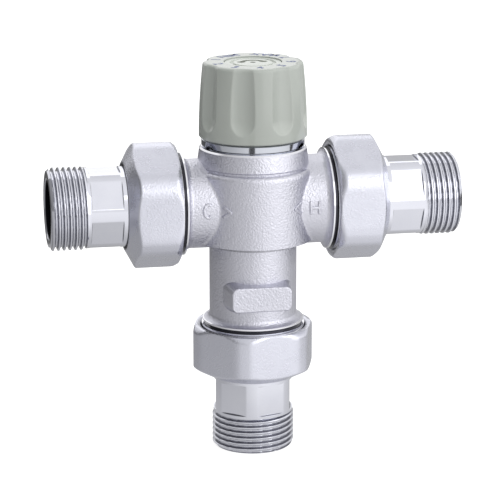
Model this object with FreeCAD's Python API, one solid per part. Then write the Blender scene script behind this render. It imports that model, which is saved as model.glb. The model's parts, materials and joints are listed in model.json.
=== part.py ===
"""Three-way water mixing valve with a temperature knob, two inlet unions and an outlet union.

Millimetres, +Z up. The inlet axis runs along X (cold at -X, hot at +X), the valve axis along Z.
Every piece is modelled about the crossing of these two axes, and is lifted by outlet_reach when it
is written, so that the origin of the finished valve is the centre of the outlet's end face.
Pieces of a connection are modelled in the port's own frame: z = 0 on the body's port face, +z
outwards along the pipe.
"""
import FreeCAD, Part
import math
import os
from collections import namedtuple

Vector = FreeCAD.Vector
Rotation = FreeCAD.Rotation
ROUND_INSET = 1 - math.cos(math.pi / 4)    # corner to a quarter round's middle, over its radius

# ---------------------------------------------------------------- overall layout
inlet_face = 34.0             # crossing of the axes to the face of either inlet port
outlet_face = 49.3            # crossing of the axes to the face of the outlet port
knob_top_rise = 45.3          # crossing of the axes to the top of the knob

# ---------------------------------------------------------------- clearances
running_clearance = 0.05      # radial, shafts and sleeves that turn or slide
insert_clearance = 0.05       # radial, pieces screwed or pushed into a bore and left there
thread_clearance = 0.08       # radial, between the drawn thread cylinders of nut and port
moving_gap = 0.3              # faces of pieces that move past each other

# ---------------------------------------------------------------- tailpiece: G 3/4 thread, six flats
tail_thread_d = 26.44
tail_thread_length = 11.8
tail_thread_chamfer = 1.0
tail_shank_d = 25.7
tail_shank_length = 15.2
tail_bore_d = 19.0
tail_flats_across = 23.9
tail_flats_nut_gap = 1.4      # round shank left between the flats and the nut
tail_flats_thread_gap = 0.8   # round shank left between the flats and the thread
tail_flange_d = 31.6
tail_flange_thickness = 3.0

# ---------------------------------------------------------------- union nut, G 1
nut_across_flats = 37.2
nut_corner_d = 40.3           # turned diameter that trims the six corners
nut_length = 16.6
nut_end_wall = 2.8
nut_end_face_d = 28.4         # flat ring left at the small end of the cone
nut_cone_height = 3.2
nut_mouth_face_d = 38.0
nut_mouth_chamfer = 1.3
nut_edge_countersink = 0.7

# ---------------------------------------------------------------- port of the body: G 1 thread
port_thread_d = 33.25
port_thread_length = 9.3
port_thread_chamfer = 1.0
port_undercut_width = 1.1
port_undercut_depth = 1.1
port_collar_d = 32.6
port_collar_width = 0.5
port_flare_length = 1.8
port_flare_hollow = 0.35      # of the flare, below the straight cone
gasket_thickness = 2.0
gasket_inner_d = 19.4
gasket_outer_d = 31.0

# ---------------------------------------------------------------- forged body
arm_d = 28.6
neck_d = 28.1
arm_root_round = 1.2
barrel_d = 38.6
barrel_foot_drop = 11.7
shoulder_round = 1.7          # quarter round from the barrel in to the waist
waist_low_rise = 11.6         # shallow groove turned between barrel and cup
waist_high_rise = 12.2
waist_depth = 0.1             # below the inner end of the shoulder round
cup_foot_d = 35.8
cup_foot_rise = 12.6
cup_d = 34.3
cup_top_rise = 18.2
cup_rim_chamfer = 0.5
pad_width = 19.2
pad_height = 7.9
pad_drop = 28.65              # crossing of the axes to the pad's centre
pad_face_reach = 16.4         # valve axis to the pad's face
pad_corner_r = 2.0
pad_draft = 12.0
pad_edge_r = 0.5
inlet_bore_d = 19.0
inlet_bore_end = 16.6         # valve axis to the inner end of either inlet bore
window_overlap = 0.5          # reach of a seat's window into the inlet bore
chamber_d = 26.4
neck_bore_d = 22.7
cartridge_bore_d = 22.8
cartridge_bore_depth = 15.0

# ---------------------------------------------------------------- shutter and its two seats
shutter_d = 20.9
shutter_wall = 1.45
shutter_length = 9.0
shutter_hub_d = 13.4
shutter_hub_thickness = 2.5
shutter_arm_width = 2.0
shutter_arms = 4
seat_opening = 2.6            # shutter edge to either seat at the middle setting
land_height = 5.0             # guide bore around the middle of the shutter
shutter_ring_cord = 1.0

# ---------------------------------------------------------------- lower seat ring with spring spider
seat_ring_d = 22.6
seat_lip_bore_d = 17.8
seat_lip_thickness = 1.5
seat_skirt_wall = 1.0
seat_ring_length = 7.5
spring_rest_d = 14.0
spring_rest_thickness = 1.4
seat_arms = 3
seat_arm_width = 2.2

# ---------------------------------------------------------------- wax element
bulb_d = 8.0
bulb_length = 16.0            # below the shutter's hub
bulb_tip_round = 2.0
element_flange_d = 10.4
element_flange_thickness = 1.5
element_boss_d = 6.0
element_boss_length = 3.4
piston_d = 2.4
piston_depth = 1.5            # length of the piston inside the boss
return_spring_d = 13.2
return_spring_wire = 1.1
return_spring_turns = 5

# ---------------------------------------------------------------- regulating nut and overtravel spring
adjuster_across_flats = 15.0
adjuster_length = 8.3
adjuster_roof = 2.6
adjuster_bore_d = 12.4
adjuster_rise = 8.9           # crossing of the axes to its open end
retainer_thickness = 0.6
retainer_bore_d = 9.8
retainer_inset = 0.4
retainer_groove_depth = 0.5
retainer_mouth = 2.0          # opening between the ring's ends
push_cup_thickness = 1.1
push_cup_socket_depth = 0.4
overtravel_spring_d = 12.0
overtravel_spring_wire = 1.0
overtravel_spring_turns = 2.5
adjuster_travel = 1.25        # each way, from the middle setting

# ---------------------------------------------------------------- bonnet
bonnet_spigot_length = 2.1
bonnet_thread_d = 29.2
bonnet_flange_d = 33.0
bonnet_flange_gap = 0.4       # body rim to the flange's underside
bonnet_flange_thickness = 2.4
bonnet_flange_chamfer = 0.3
bonnet_hex_across = 20.0
bonnet_hex_height = 4.5
bonnet_hex_turn = 30.0        # degrees, flats to the front and the back
bonnet_neck_d = 15.0
bonnet_neck_length = 10.0
bonnet_ring_cord = 1.6
bonnet_ring_inset = 1.0       # flange to the ring's groove

# ---------------------------------------------------------------- adjusting spindle
spindle_thread_d = 7.0
spindle_collar_d = 10.8
spindle_collar_thickness = 1.3
spindle_journal_d = 8.0
spindle_tip_gap = 0.6         # push cup at its highest to the spindle's tip
spindle_ring_cord = 1.2
spindle_ring_rises = (3.6, 7.2)   # above the flange's top face
circlip_thickness = 0.8
circlip_d = 11.0
circlip_seat_depth = 0.7
circlip_mouth = 50.0          # degrees
spindle_square = 5.6
spindle_square_length = 6.8

# ---------------------------------------------------------------- knob, its cap and its screw
knob_foot_d = 34.5
knob_top_d = 31.8
knob_bulge = 0.35             # of the side, outwards from the straight taper at mid height
knob_edge_r = 1.1
knob_lip_chamfer = 0.4
knob_cavity_d = 28.4
knob_roof = 2.8
knob_hub_d = 12.0
knob_ribs = 8
knob_rib_thickness = 1.2
knob_rib_height = 6.0
scallops = 8
scallop_first = -21.5         # degrees from the front, towards +X
scallop_cutter_r = 9.0
scallop_depth_foot = 1.35
scallop_depth_top = 0.75
scallop_foot_rise = 25.6      # crossing of the axes to the lowest point of a scallop
cap_d = 18.2
cap_thickness = 1.2
cap_recess_depth = 1.6
cap_fit = 0.1
cap_stub_d = 8.0
cap_stub_wall = 1.0
cap_stub_length = 0.7
screw_d = 4.0
screw_length = 8.0
screw_head_d = 7.2
screw_head_height = 1.8
screw_head_chamfer = 0.35
screw_pocket_d = 8.4
screw_floor = 2.2             # knob material under the screw head
screw_socket_across = 2.5
screw_socket_depth = 1.2

# ---------------------------------------------------------------- check valve cartridge in each inlet
cartridge_inset = 0.2
cartridge_length = 14.2
cartridge_wall = 1.9
cartridge_seat_inset = 1.2
cartridge_seat_thickness = 1.8
cartridge_seat_bore_d = 12.8
cartridge_ring_cord = 1.4
cartridge_ring_inset = 4.0
cartridge_lip_depth = 0.2
poppet_head_d = 15.2
poppet_head_thickness = 1.7
poppet_stem_d = 3.0
poppet_nose_length = 1.6
guide_hub_d = 6.4
guide_hub_length = 2.4
guide_arms = 3
guide_arm_width = 1.6
check_spring_d = 8.2
check_spring_wire = 0.6
check_spring_turns = 4.0

# ---------------------------------------------------------------- strainer basket in each inlet tail
strainer_brim_d = 22.0
strainer_brim_thickness = 0.8
strainer_brim_fit = 0.1
strainer_basket_d = 17.2
strainer_wall = 0.6
strainer_length = 12.0
strainer_slots = 10
strainer_slot_width = 2.6
strainer_slot_end = 1.6       # closed band left at either end of a slot

# ---------------------------------------------------------------- sizes that follow from the above
port_stack = gasket_thickness + tail_flange_thickness + tail_shank_length + tail_thread_length
outlet_reach = outlet_face + port_stack
nut_seat = gasket_thickness + tail_flange_thickness
nut_outer_end = nut_seat + nut_end_wall
nut_mouth = nut_outer_end - nut_length
seat_rise = shutter_length / 2 + seat_opening
bonnet_shoulder_rise = seat_rise + bonnet_spigot_length
bonnet_flange_rise = cup_top_rise + bonnet_flange_gap
bonnet_top_rise = bonnet_flange_rise + bonnet_flange_thickness
neck_top_rise = bonnet_top_rise + bonnet_neck_length
knob_foot_rise = bonnet_top_rise + moving_gap
hub_foot = -shutter_hub_thickness / 2
spring_rest = -seat_rise - seat_ring_length + spring_rest_thickness
adjuster_roof_foot = adjuster_rise + adjuster_length - adjuster_roof
push_cup_foot = adjuster_rise + retainer_inset + retainer_thickness
push_cup_top = push_cup_foot + push_cup_thickness
collar_top = adjuster_rise + adjuster_length + adjuster_travel + moving_gap + spindle_collar_thickness
square_top_rise = neck_top_rise + circlip_thickness + spindle_square_length
screw_head_rise = square_top_rise + screw_floor

Port = namedtuple("Port", "name face direction nut_turn tail_turn")
PORTS = (
    Port("cold", inlet_face, Vector(-1, 0, 0), 0.0, 30.0),
    Port("hot", inlet_face, Vector(1, 0, 0), 0.0, 30.0),
    Port("outlet", outlet_face, Vector(0, 0, -1), -12.0, -18.0),
)
INLETS = PORTS[:2]


# ================================================================ basic solids
def turned(profile):
    """Solid of revolution about Z.

    A step of the profile is a corner (radius, height), or an arc ((through), (end)).
    """
    def place(corner):
        return Vector(corner[0], 0, corner[1])

    edges = []
    here = place(profile[0])
    for step in list(profile[1:]) + [profile[0]]:
        if isinstance(step[0], tuple):
            end = place(step[1])
            edges.append(Part.Arc(here, place(step[0]), end).toShape())
        else:
            end = place(step)
            edges.append(Part.makeLine(here, end))
        here = end
    return Part.Face(Part.Wire(edges)).revolve(Vector(0, 0, 0), Vector(0, 0, 1), 360)


def rod(diameter, low, high):
    """Round bar about Z."""
    return Part.makeCylinder(diameter / 2, high - low, Vector(0, 0, low))


def ring(inner_d, outer_d, low, high):
    """Plain ring about Z."""
    return turned([(inner_d / 2, low), (outer_d / 2, low), (outer_d / 2, high), (inner_d / 2, high)])


def o_ring(inner_d, cord, height):
    """Rubber ring whose centre line lies at the given height."""
    return Part.makeTorus((inner_d + cord) / 2, cord / 2, Vector(0, 0, height), Vector(0, 0, 1))


def dome(radius, low, rise):
    """Profile step of a spherical cap, from (radius, low) up or down to the axis."""
    sphere_r = (radius ** 2 + rise ** 2) / (2 * rise)
    middle_r = radius / 2
    sagitta = math.copysign(math.sqrt(sphere_r ** 2 - middle_r ** 2), rise)
    return (middle_r, low + rise - sphere_r + sagitta), (0, low + rise)


def prism(across_flats, sides, low, high, turn=0.0):
    """Regular prism about Z, with a corner at the given angle from +X."""
    radius = across_flats / 2 / math.cos(math.pi / sides)
    corners = []
    for side in range(sides + 1):
        angle = math.radians(turn) + 2 * math.pi * side / sides
        corners.append(Vector(radius * math.cos(angle), radius * math.sin(angle), low))
    return Part.Face(Part.makePolygon(corners)).extrude(Vector(0, 0, high - low))


def bar(x_low, x_high, width, low, high):
    """Rectangular bar along X, centred on the XZ plane."""
    return Part.makeBox(x_high - x_low, width, high - low, Vector(x_low, -width / 2, low))


def about_z(shape, angle):
    """The shape turned about Z by an angle in degrees."""
    copy = shape.copy()
    copy.rotate(Vector(0, 0, 0), Vector(0, 0, 1), angle)
    return copy


def fanned(shape, count, first=0.0):
    """List of copies spread evenly about Z."""
    return [about_z(shape, first + 360.0 * index / count) for index in range(count)]


def coil(outer_d, wire, low, high, turns):
    """Compression spring about Z with both ends ground flat."""
    mean_r = (outer_d - wire) / 2
    path = Part.makeHelix((high - low) / turns, high - low, mean_r)
    section = Part.Wire(Part.makeCircle(wire / 2, Vector(mean_r, 0, 0), Vector(0, 1, 0)))
    spring = Part.Wire(path).makePipeShell([section], True, True)
    spring.translate(Vector(0, 0, low))
    return spring.common(rod(outer_d + wire, low, high))


def at_port(shape, port):
    """A shape from a port's own frame, placed on that port."""
    copy = shape.copy()
    turn = Rotation(Vector(0, 0, 1), port.direction)
    if port.direction.z < 0:
        turn = Rotation(Vector(1, 0, 0), 180)
    copy.Placement = FreeCAD.Placement(port.direction * port.face, turn).multiply(copy.Placement)
    return copy


# ================================================================ connections
def tailpiece(flats_turn):
    """Tail with a flange for the nut, six milled flats and a male pipe thread."""
    flange_top = gasket_thickness + tail_flange_thickness
    shank_top = flange_top + tail_shank_length
    thread_r = tail_thread_d / 2
    shape = turned([
        (tail_bore_d / 2, gasket_thickness),
        (tail_flange_d / 2, gasket_thickness),
        (tail_flange_d / 2, flange_top),
        (tail_shank_d / 2, flange_top),
        (tail_shank_d / 2, shank_top),
        (thread_r, shank_top + (thread_r - tail_shank_d / 2)),
        (thread_r, port_stack - tail_thread_chamfer),
        (thread_r - tail_thread_chamfer, port_stack),
        (tail_bore_d / 2, port_stack),
    ])
    recess_d = strainer_brim_d + 2 * strainer_brim_fit
    shape = shape.cut(rod(recess_d, 0, gasket_thickness + strainer_brim_thickness))
    flats_low = nut_outer_end + tail_flats_nut_gap
    flats_high = shank_top - tail_flats_thread_gap
    waste = ring(tail_bore_d, 2 * tail_shank_d, flats_low, flats_high)
    waste = waste.cut(prism(tail_flats_across, 6, flats_low, flats_high, flats_turn))
    return shape.cut(waste)


def union_nut(hex_turn):
    """Hexagonal nut that draws the tail's flange onto the port."""
    bore_r = port_thread_d / 2 + thread_clearance
    hole_r = tail_shank_d / 2 + running_clearance
    corner_r = nut_corner_d / 2
    outline = turned([
        (hole_r, nut_seat),
        (bore_r, nut_seat),
        (bore_r, nut_mouth + nut_edge_countersink),
        (bore_r + nut_edge_countersink, nut_mouth),
        (nut_mouth_face_d / 2, nut_mouth),
        (corner_r, nut_mouth + nut_mouth_chamfer),
        (corner_r, nut_outer_end - nut_cone_height),
        (nut_end_face_d / 2, nut_outer_end),
        (hole_r, nut_outer_end),
    ])
    return outline.common(prism(nut_across_flats, 6, nut_mouth, nut_outer_end, hex_turn))


def strainer():
    """Slotted basket that hangs from the tail's flange into its bore."""
    brim_top = gasket_thickness + strainer_brim_thickness
    top = gasket_thickness + strainer_length
    outer_r = strainer_basket_d / 2
    inner_r = outer_r - strainer_wall
    basket = turned([
        (0, top - strainer_wall),
        (inner_r, top - strainer_wall),
        (inner_r, gasket_thickness),
        (strainer_brim_d / 2, gasket_thickness),
        (strainer_brim_d / 2, brim_top),
        (outer_r, brim_top),
        (outer_r, top),
        (0, top),
    ])
    slot = bar(inner_r / 2, strainer_basket_d, strainer_slot_width,
               brim_top + strainer_slot_end, top - strainer_slot_end)
    return basket.cut(Part.makeCompound(fanned(slot, strainer_slots)))


# ================================================================ check valve cartridge
seat_inner_face = -cartridge_inset - cartridge_seat_inset - cartridge_seat_thickness
poppet_back = seat_inner_face - poppet_head_thickness
cartridge_end = -cartridge_inset - cartridge_length
guide_front = cartridge_end + guide_hub_length


def cartridge_shell():
    """Moulded check valve housing: seat web, outer wall and three-armed stem guide."""
    outer_r = cartridge_bore_d / 2 - insert_clearance
    inner_r = outer_r - cartridge_wall
    seat_outer_face = seat_inner_face + cartridge_seat_thickness
    ring_high = -cartridge_inset - cartridge_ring_inset
    ring_low = ring_high - cartridge_ring_cord
    floor_r = outer_r - cartridge_ring_cord + cartridge_lip_depth
    shell = turned([
        (inner_r, cartridge_end),
        (outer_r, cartridge_end),
        (outer_r, ring_low),
        (floor_r, ring_low),
        (floor_r, ring_high),
        (outer_r, ring_high),
        (outer_r, -cartridge_inset),
        (inner_r, -cartridge_inset),
        (inner_r, seat_outer_face),
        (cartridge_seat_bore_d / 2, seat_outer_face),
        (cartridge_seat_bore_d / 2, seat_inner_face),
        (inner_r, seat_inner_face),
    ])
    arm = bar(0, inner_r + cartridge_wall / 2, guide_arm_width, cartridge_end, guide_front)
    guide = rod(guide_hub_d, cartridge_end, guide_front).fuse(fanned(arm, guide_arms))
    stem_hole = rod(poppet_stem_d + 2 * running_clearance, cartridge_end, guide_front)
    return shell.fuse(guide).cut(stem_hole).removeSplitter()


def cartridge_o_ring():
    """Ring between the cartridge and its bore."""
    height = -cartridge_inset - cartridge_ring_inset - cartridge_ring_cord / 2
    cord = cartridge_ring_cord - cartridge_lip_depth
    return o_ring(cartridge_bore_d - 2 * insert_clearance - 2 * cord, cord, height)


def poppet():
    """Mushroom-shaped closing piece, its stem guided at the inner end."""
    nose_r = cartridge_seat_bore_d / 2 - 2 * moving_gap
    head_r = poppet_head_d / 2
    stem_r = poppet_stem_d / 2
    return turned([
        (0, cartridge_end),
        (stem_r, cartridge_end),
        (stem_r, poppet_back),
        (head_r, poppet_back),
        (head_r, seat_inner_face),
        (nose_r, seat_inner_face),
        dome(nose_r, seat_inner_face, poppet_nose_length),
    ])


def check_spring():
    """Light spring that shuts the poppet."""
    return coil(check_spring_d, check_spring_wire, guide_front, poppet_back, check_spring_turns)


# ================================================================ forged body
def branch(root_d, length):
    """One outlet or inlet branch in its port's frame, from the crossing to the port face."""
    root_r = root_d / 2
    collar_r = port_collar_d / 2
    thread_r = port_thread_d / 2
    groove_r = thread_r - port_undercut_depth
    thread_foot = -port_thread_length
    collar_face = thread_foot - port_undercut_width
    flare_top = collar_face - port_collar_width
    flare_foot = flare_top - port_flare_length
    flare_middle = ((root_r + collar_r) / 2 - port_flare_hollow,
                    (flare_foot + flare_top) / 2 + port_flare_hollow)
    return turned([
        (0, -length),
        (root_r, -length),
        (root_r, flare_foot),
        (flare_middle, (collar_r, flare_top)),
        (collar_r, collar_face),
        (groove_r, collar_face),
        (groove_r, thread_foot),
        (thread_r, thread_foot),
        (thread_r, -port_thread_chamfer),
        (thread_r - port_thread_chamfer, 0),
        (0, 0),
    ])


def along_x(diameter, low, high):
    """Round bar along X."""
    return Part.makeCylinder(diameter / 2, high - low, Vector(low, 0, 0), Vector(1, 0, 0))


def barrel():
    """Middle of the body: straight barrel, rounded shoulder, waist and cup, with rounded arm roots."""
    barrel_r = barrel_d / 2
    reach = barrel_r + 2 * arm_root_round
    arms = along_x(arm_d, -reach, reach)
    solid = rod(barrel_d, -barrel_foot_drop, cup_top_rise).fuse(arms).removeSplitter()
    plain = ("Part::GeomCircle", "Part::GeomLine")
    roots = [edge for edge in solid.Edges if edge.Curve.TypeId not in plain]
    solid = solid.makeFillet(arm_root_round, roots)
    shoulder_inset = ROUND_INSET * shoulder_round
    shoulder_foot = waist_low_rise - shoulder_round
    waist_r = barrel_r - shoulder_round - waist_depth
    above = turned([
        (2 * barrel_r, shoulder_foot),
        (barrel_r, shoulder_foot),
        ((barrel_r - shoulder_inset, waist_low_rise - shoulder_inset),
         (barrel_r - shoulder_round, waist_low_rise)),
        (waist_r, waist_low_rise),
        (waist_r, waist_high_rise),
        (cup_foot_d / 2, cup_foot_rise),
        (cup_d / 2, cup_top_rise - cup_rim_chamfer),
        (cup_d / 2 - cup_rim_chamfer, cup_top_rise),
        (2 * barrel_r, cup_top_rise),
    ])
    return solid.cut(above.cut(arms))


def rounded_plate(width, height, corner, reach, centre):
    """Outline of the pad at a distance in front of the valve axis."""
    half_w = width / 2 - corner
    half_h = height / 2 - corner
    edges = []
    corners = ((half_w, half_h, 0), (-half_w, half_h, 90), (-half_w, -half_h, 180), (half_w, -half_h, 270))
    points = []
    for x, z, start in corners:
        middle = Vector(x, -reach, centre + z)
        arc = []
        for angle in (start, start + 45, start + 90):
            a = math.radians(angle)
            arc.append(middle + Vector(corner * math.cos(a), 0, corner * math.sin(a)))
        points.append(arc)
    for index, arc in enumerate(points):
        edges.append(Part.Arc(*arc).toShape())
        edges.append(Part.makeLine(arc[2], points[(index + 1) % 4][0]))
    return Part.Wire(edges)


def name_pad():
    """Drafted flat pad on the front of the neck."""
    depth = pad_face_reach - neck_d / 4
    spread = 2 * depth * math.tan(math.radians(pad_draft))
    face = rounded_plate(pad_width, pad_height, pad_corner_r, pad_face_reach, -pad_drop)
    foot = rounded_plate(pad_width + spread, pad_height + spread, pad_corner_r + spread / 2,
                         pad_face_reach - depth, -pad_drop)
    pad = Part.makeLoft([foot, face], True)
    front = min(pad.Faces, key=lambda side: side.CenterOfMass.y)
    return pad.makeFillet(pad_edge_r, front.Edges)


def waterways():
    """Everything that is bored out of the body."""
    neck_bore_top = -seat_rise - seat_lip_thickness
    land_r = shutter_d / 2 + running_clearance
    bonnet_r = bonnet_thread_d / 2 + insert_clearance
    chamber_r = chamber_d / 2
    middle = turned([
        (0, -outlet_face),
        (neck_bore_d / 2, -outlet_face),
        (neck_bore_d / 2, neck_bore_top),
        (chamber_r, neck_bore_top),
        (chamber_r, -land_height / 2),
        (land_r, -land_height / 2),
        (land_r, land_height / 2),
        (chamber_r, land_height / 2),
        (chamber_r, bonnet_shoulder_rise),
        (bonnet_r, bonnet_shoulder_rise),
        (bonnet_r, cup_top_rise),
        (0, cup_top_rise),
    ])
    cuts = [middle]
    for port in INLETS:
        bore = rod(inlet_bore_d, inlet_bore_end - inlet_face, 0)
        pocket = rod(cartridge_bore_d, -cartridge_bore_depth, 0)
        cuts.append(at_port(bore.fuse(pocket), port))
    window_width = 2 * math.sqrt((inlet_bore_d / 2) ** 2 - seat_rise ** 2)
    window_end = inlet_bore_end + window_overlap
    cuts.append(bar(-window_end, 0, window_width, land_height / 2, seat_rise))
    cuts.append(bar(0, window_end, window_width, -seat_rise, -land_height / 2))
    return cuts


def valve_body():
    """Brass forging with two inlet arms, the outlet neck and the cup for the bonnet."""
    arms = [at_port(branch(arm_d, inlet_face), port) for port in INLETS]
    neck = at_port(branch(neck_d, outlet_face), PORTS[2])
    solid = barrel().fuse(arms + [neck, name_pad()])
    return solid.cut(waterways()).removeSplitter()


# ================================================================ seat ring, shutter, wax element
def seat_ring():
    """Lower seat, screwed up the neck, with a spider that carries the return spring."""
    outer_r = seat_ring_d / 2
    top = -seat_rise
    foot = top - seat_ring_length
    shell = turned([
        (outer_r - seat_skirt_wall, foot),
        (outer_r, foot),
        (outer_r, top),
        (seat_lip_bore_d / 2, top),
        (seat_lip_bore_d / 2, top - seat_lip_thickness),
        (outer_r - seat_skirt_wall, top - seat_lip_thickness),
    ])
    arm = bar(0, outer_r - seat_skirt_wall / 2, seat_arm_width, foot, spring_rest)
    rest = rod(spring_rest_d, foot, spring_rest).fuse(fanned(arm, seat_arms, 90))
    return shell.fuse(rest).cut(rod(bulb_d + 2 * moving_gap, foot, spring_rest)).removeSplitter()


def shutter():
    """Sleeve that opens one inlet as it closes the other, with a hub on four arms."""
    outer_r = shutter_d / 2
    inner_r = outer_r - shutter_wall
    half = shutter_length / 2
    ring_half = shutter_ring_cord / 2
    groove_r = outer_r - shutter_ring_cord
    sleeve = turned([
        (inner_r, -half),
        (outer_r, -half),
        (outer_r, -ring_half),
        (groove_r, -ring_half),
        (groove_r, ring_half),
        (outer_r, ring_half),
        (outer_r, half),
        (inner_r, half),
    ])
    arm = bar(0, inner_r + shutter_wall / 4, shutter_arm_width, hub_foot, -hub_foot)
    hub = rod(shutter_hub_d, hub_foot, -hub_foot).fuse(fanned(arm, shutter_arms, 45))
    return sleeve.fuse(hub).cut(rod(bulb_d + 2 * insert_clearance, hub_foot, -hub_foot)).removeSplitter()


def shutter_o_ring():
    """Ring between the cold side and the hot side."""
    return o_ring(shutter_d - 2 * shutter_ring_cord, shutter_ring_cord, 0)


def wax_element():
    """Sealed sensing element: bulb in the mixed water, flange on the shutter's hub, piston guide."""
    flange_top = -hub_foot + element_flange_thickness
    boss_top = flange_top + element_boss_length
    bulb_r = bulb_d / 2
    tip = hub_foot - bulb_length
    tip_inset = ROUND_INSET * bulb_tip_round
    shape = turned([
        (0, tip),
        (bulb_r - bulb_tip_round, tip),
        ((bulb_r - tip_inset, tip + tip_inset), (bulb_r, tip + bulb_tip_round)),
        (bulb_r, -hub_foot),
        (element_flange_d / 2, -hub_foot),
        (element_flange_d / 2, flange_top),
        (element_boss_d / 2, flange_top),
        (element_boss_d / 2, boss_top),
        (0, boss_top),
    ])
    bore = rod(piston_d + 2 * running_clearance, boss_top - 2 * piston_depth, boss_top)
    return shape.cut(bore)


def element_piston():
    """Rod that the wax pushes out against the push cup."""
    boss_top = -hub_foot + element_flange_thickness + element_boss_length
    return rod(piston_d, boss_top - piston_depth, push_cup_foot + push_cup_socket_depth)


def return_spring():
    """Spring that keeps the shutter and element up against the push cup."""
    return coil(return_spring_d, return_spring_wire, spring_rest, hub_foot, return_spring_turns)


# ================================================================ regulating nut
def regulating_nut():
    """Six-sided nut that can't turn in the bonnet and holds the overtravel spring."""
    top = adjuster_rise + adjuster_length
    bore_r = adjuster_bore_d / 2
    groove_low = adjuster_rise + retainer_inset
    shape = prism(adjuster_across_flats, 6, adjuster_rise, top)
    shape = shape.cut(rod(adjuster_bore_d, adjuster_rise, adjuster_roof_foot))
    groove = rod(2 * (bore_r + retainer_groove_depth), groove_low, groove_low + retainer_thickness)
    return shape.cut(groove).cut(rod(spindle_thread_d + 2 * running_clearance, adjuster_rise, top))


def retaining_ring():
    """Open snap ring under the push cup."""
    low = adjuster_rise + retainer_inset
    outer_d = adjuster_bore_d + 2 * retainer_groove_depth
    shape = ring(retainer_bore_d, outer_d, low, low + retainer_thickness)
    return shape.cut(bar(0, outer_d, retainer_mouth, low, low + retainer_thickness))


def push_cup():
    """Disc between the element's piston and the overtravel spring."""
    shape = rod(adjuster_bore_d - 2 * insert_clearance, push_cup_foot, push_cup_top)
    socket_d = piston_d + 2 * running_clearance
    return shape.cut(rod(socket_d, push_cup_foot, push_cup_foot + push_cup_socket_depth))


def overtravel_spring():
    """Spring that gives way if the element expands against a closed seat."""
    return coil(overtravel_spring_d, overtravel_spring_wire, push_cup_top, adjuster_roof_foot,
                overtravel_spring_turns)


# ================================================================ bonnet and spindle
def bonnet():
    """Cover screwed into the cup: upper seat, six-sided guide, flange and spindle neck."""
    spigot_r = chamber_d / 2 - insert_clearance
    thread_r = bonnet_thread_d / 2
    flange_r = bonnet_flange_d / 2
    chamfer = bonnet_flange_chamfer
    groove_r = thread_r - bonnet_ring_cord
    groove_high = bonnet_flange_rise - bonnet_ring_inset
    groove_low = groove_high - bonnet_ring_cord
    shape = turned([
        (0, seat_rise),
        (spigot_r, seat_rise),
        (spigot_r, bonnet_shoulder_rise),
        (thread_r, bonnet_shoulder_rise),
        (thread_r, groove_low),
        (groove_r, groove_low),
        (groove_r, groove_high),
        (thread_r, groove_high),
        (thread_r, bonnet_flange_rise),
        (flange_r - chamfer, bonnet_flange_rise),
        (flange_r, bonnet_flange_rise + chamfer),
        (flange_r, bonnet_top_rise - chamfer),
        (flange_r - chamfer, bonnet_top_rise),
        (bonnet_neck_d / 2, bonnet_top_rise),
        (bonnet_neck_d / 2, neck_top_rise),
        (0, neck_top_rise),
    ])
    shape = shape.fuse(prism(bonnet_hex_across, 6, bonnet_top_rise - chamfer,
                             bonnet_top_rise + bonnet_hex_height, bonnet_hex_turn))
    guide = prism(adjuster_across_flats + 2 * running_clearance, 6, seat_rise,
                  collar_top + running_clearance)
    journal = rod(spindle_journal_d + 2 * running_clearance, seat_rise, neck_top_rise)
    return shape.cut([guide, journal]).removeSplitter()


def bonnet_o_ring():
    """Ring between the bonnet and the body."""
    height = bonnet_flange_rise - bonnet_ring_inset - bonnet_ring_cord / 2
    return o_ring(bonnet_thread_d - 2 * bonnet_ring_cord, bonnet_ring_cord, height)


def spindle():
    """Screw that the knob turns: left-hand thread below, square drive on top."""
    journal_r = spindle_journal_d / 2
    collar_foot = collar_top - spindle_collar_thickness
    tip = push_cup_top + adjuster_travel + spindle_tip_gap
    clip_r = journal_r - circlip_seat_depth
    clip_top = neck_top_rise + circlip_thickness
    floor_r = journal_r - spindle_ring_cord + running_clearance
    profile = [
        (0, tip),
        (spindle_thread_d / 2, tip),
        (spindle_thread_d / 2, collar_foot),
        (spindle_collar_d / 2, collar_foot),
        (spindle_collar_d / 2, collar_top),
        (journal_r, collar_top),
    ]
    for rise in spindle_ring_rises:
        middle = bonnet_top_rise + rise
        low, high = middle - spindle_ring_cord / 2, middle + spindle_ring_cord / 2
        profile += [(journal_r, low), (floor_r, low), (floor_r, high), (journal_r, high)]
    profile += [
        (journal_r, neck_top_rise),
        (clip_r, neck_top_rise),
        (clip_r, clip_top),
        (journal_r, clip_top),
        (journal_r, square_top_rise),
        (0, square_top_rise),
    ]
    square = prism(spindle_square, 4, clip_top, square_top_rise, 45)
    waste = rod(4 * journal_r, clip_top, square_top_rise).cut(square)
    shape = turned(profile).cut(waste)
    screw_foot = screw_head_rise - screw_length
    return shape.cut(rod(screw_d, screw_foot - screw_d / 4, square_top_rise))


def spindle_o_ring(rise):
    """Ring in one of the spindle's grooves."""
    cord = spindle_ring_cord - running_clearance
    return o_ring(spindle_journal_d - 2 * cord, cord, bonnet_top_rise + rise)


def circlip():
    """Open ring that holds the spindle down."""
    top = neck_top_rise + circlip_thickness
    shape = ring(spindle_journal_d - 2 * circlip_seat_depth, circlip_d, neck_top_rise, top)
    half = math.radians(circlip_mouth / 2)
    along, across = circlip_d * math.cos(half), circlip_d * math.sin(half)
    mouth = Part.Face(Part.makePolygon([
        Vector(0, 0, neck_top_rise),
        Vector(along, across, neck_top_rise),
        Vector(along, -across, neck_top_rise),
        Vector(0, 0, neck_top_rise),
    ])).extrude(Vector(0, 0, circlip_thickness))
    return shape.cut(mouth)


# ================================================================ knob
def knob_side(rise):
    """Radius of the knob's straight taper at a height above the crossing."""
    share = (rise - knob_foot_rise) / (knob_top_rise - knob_foot_rise)
    return knob_foot_d / 2 + share * (knob_top_d - knob_foot_d) / 2


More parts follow.
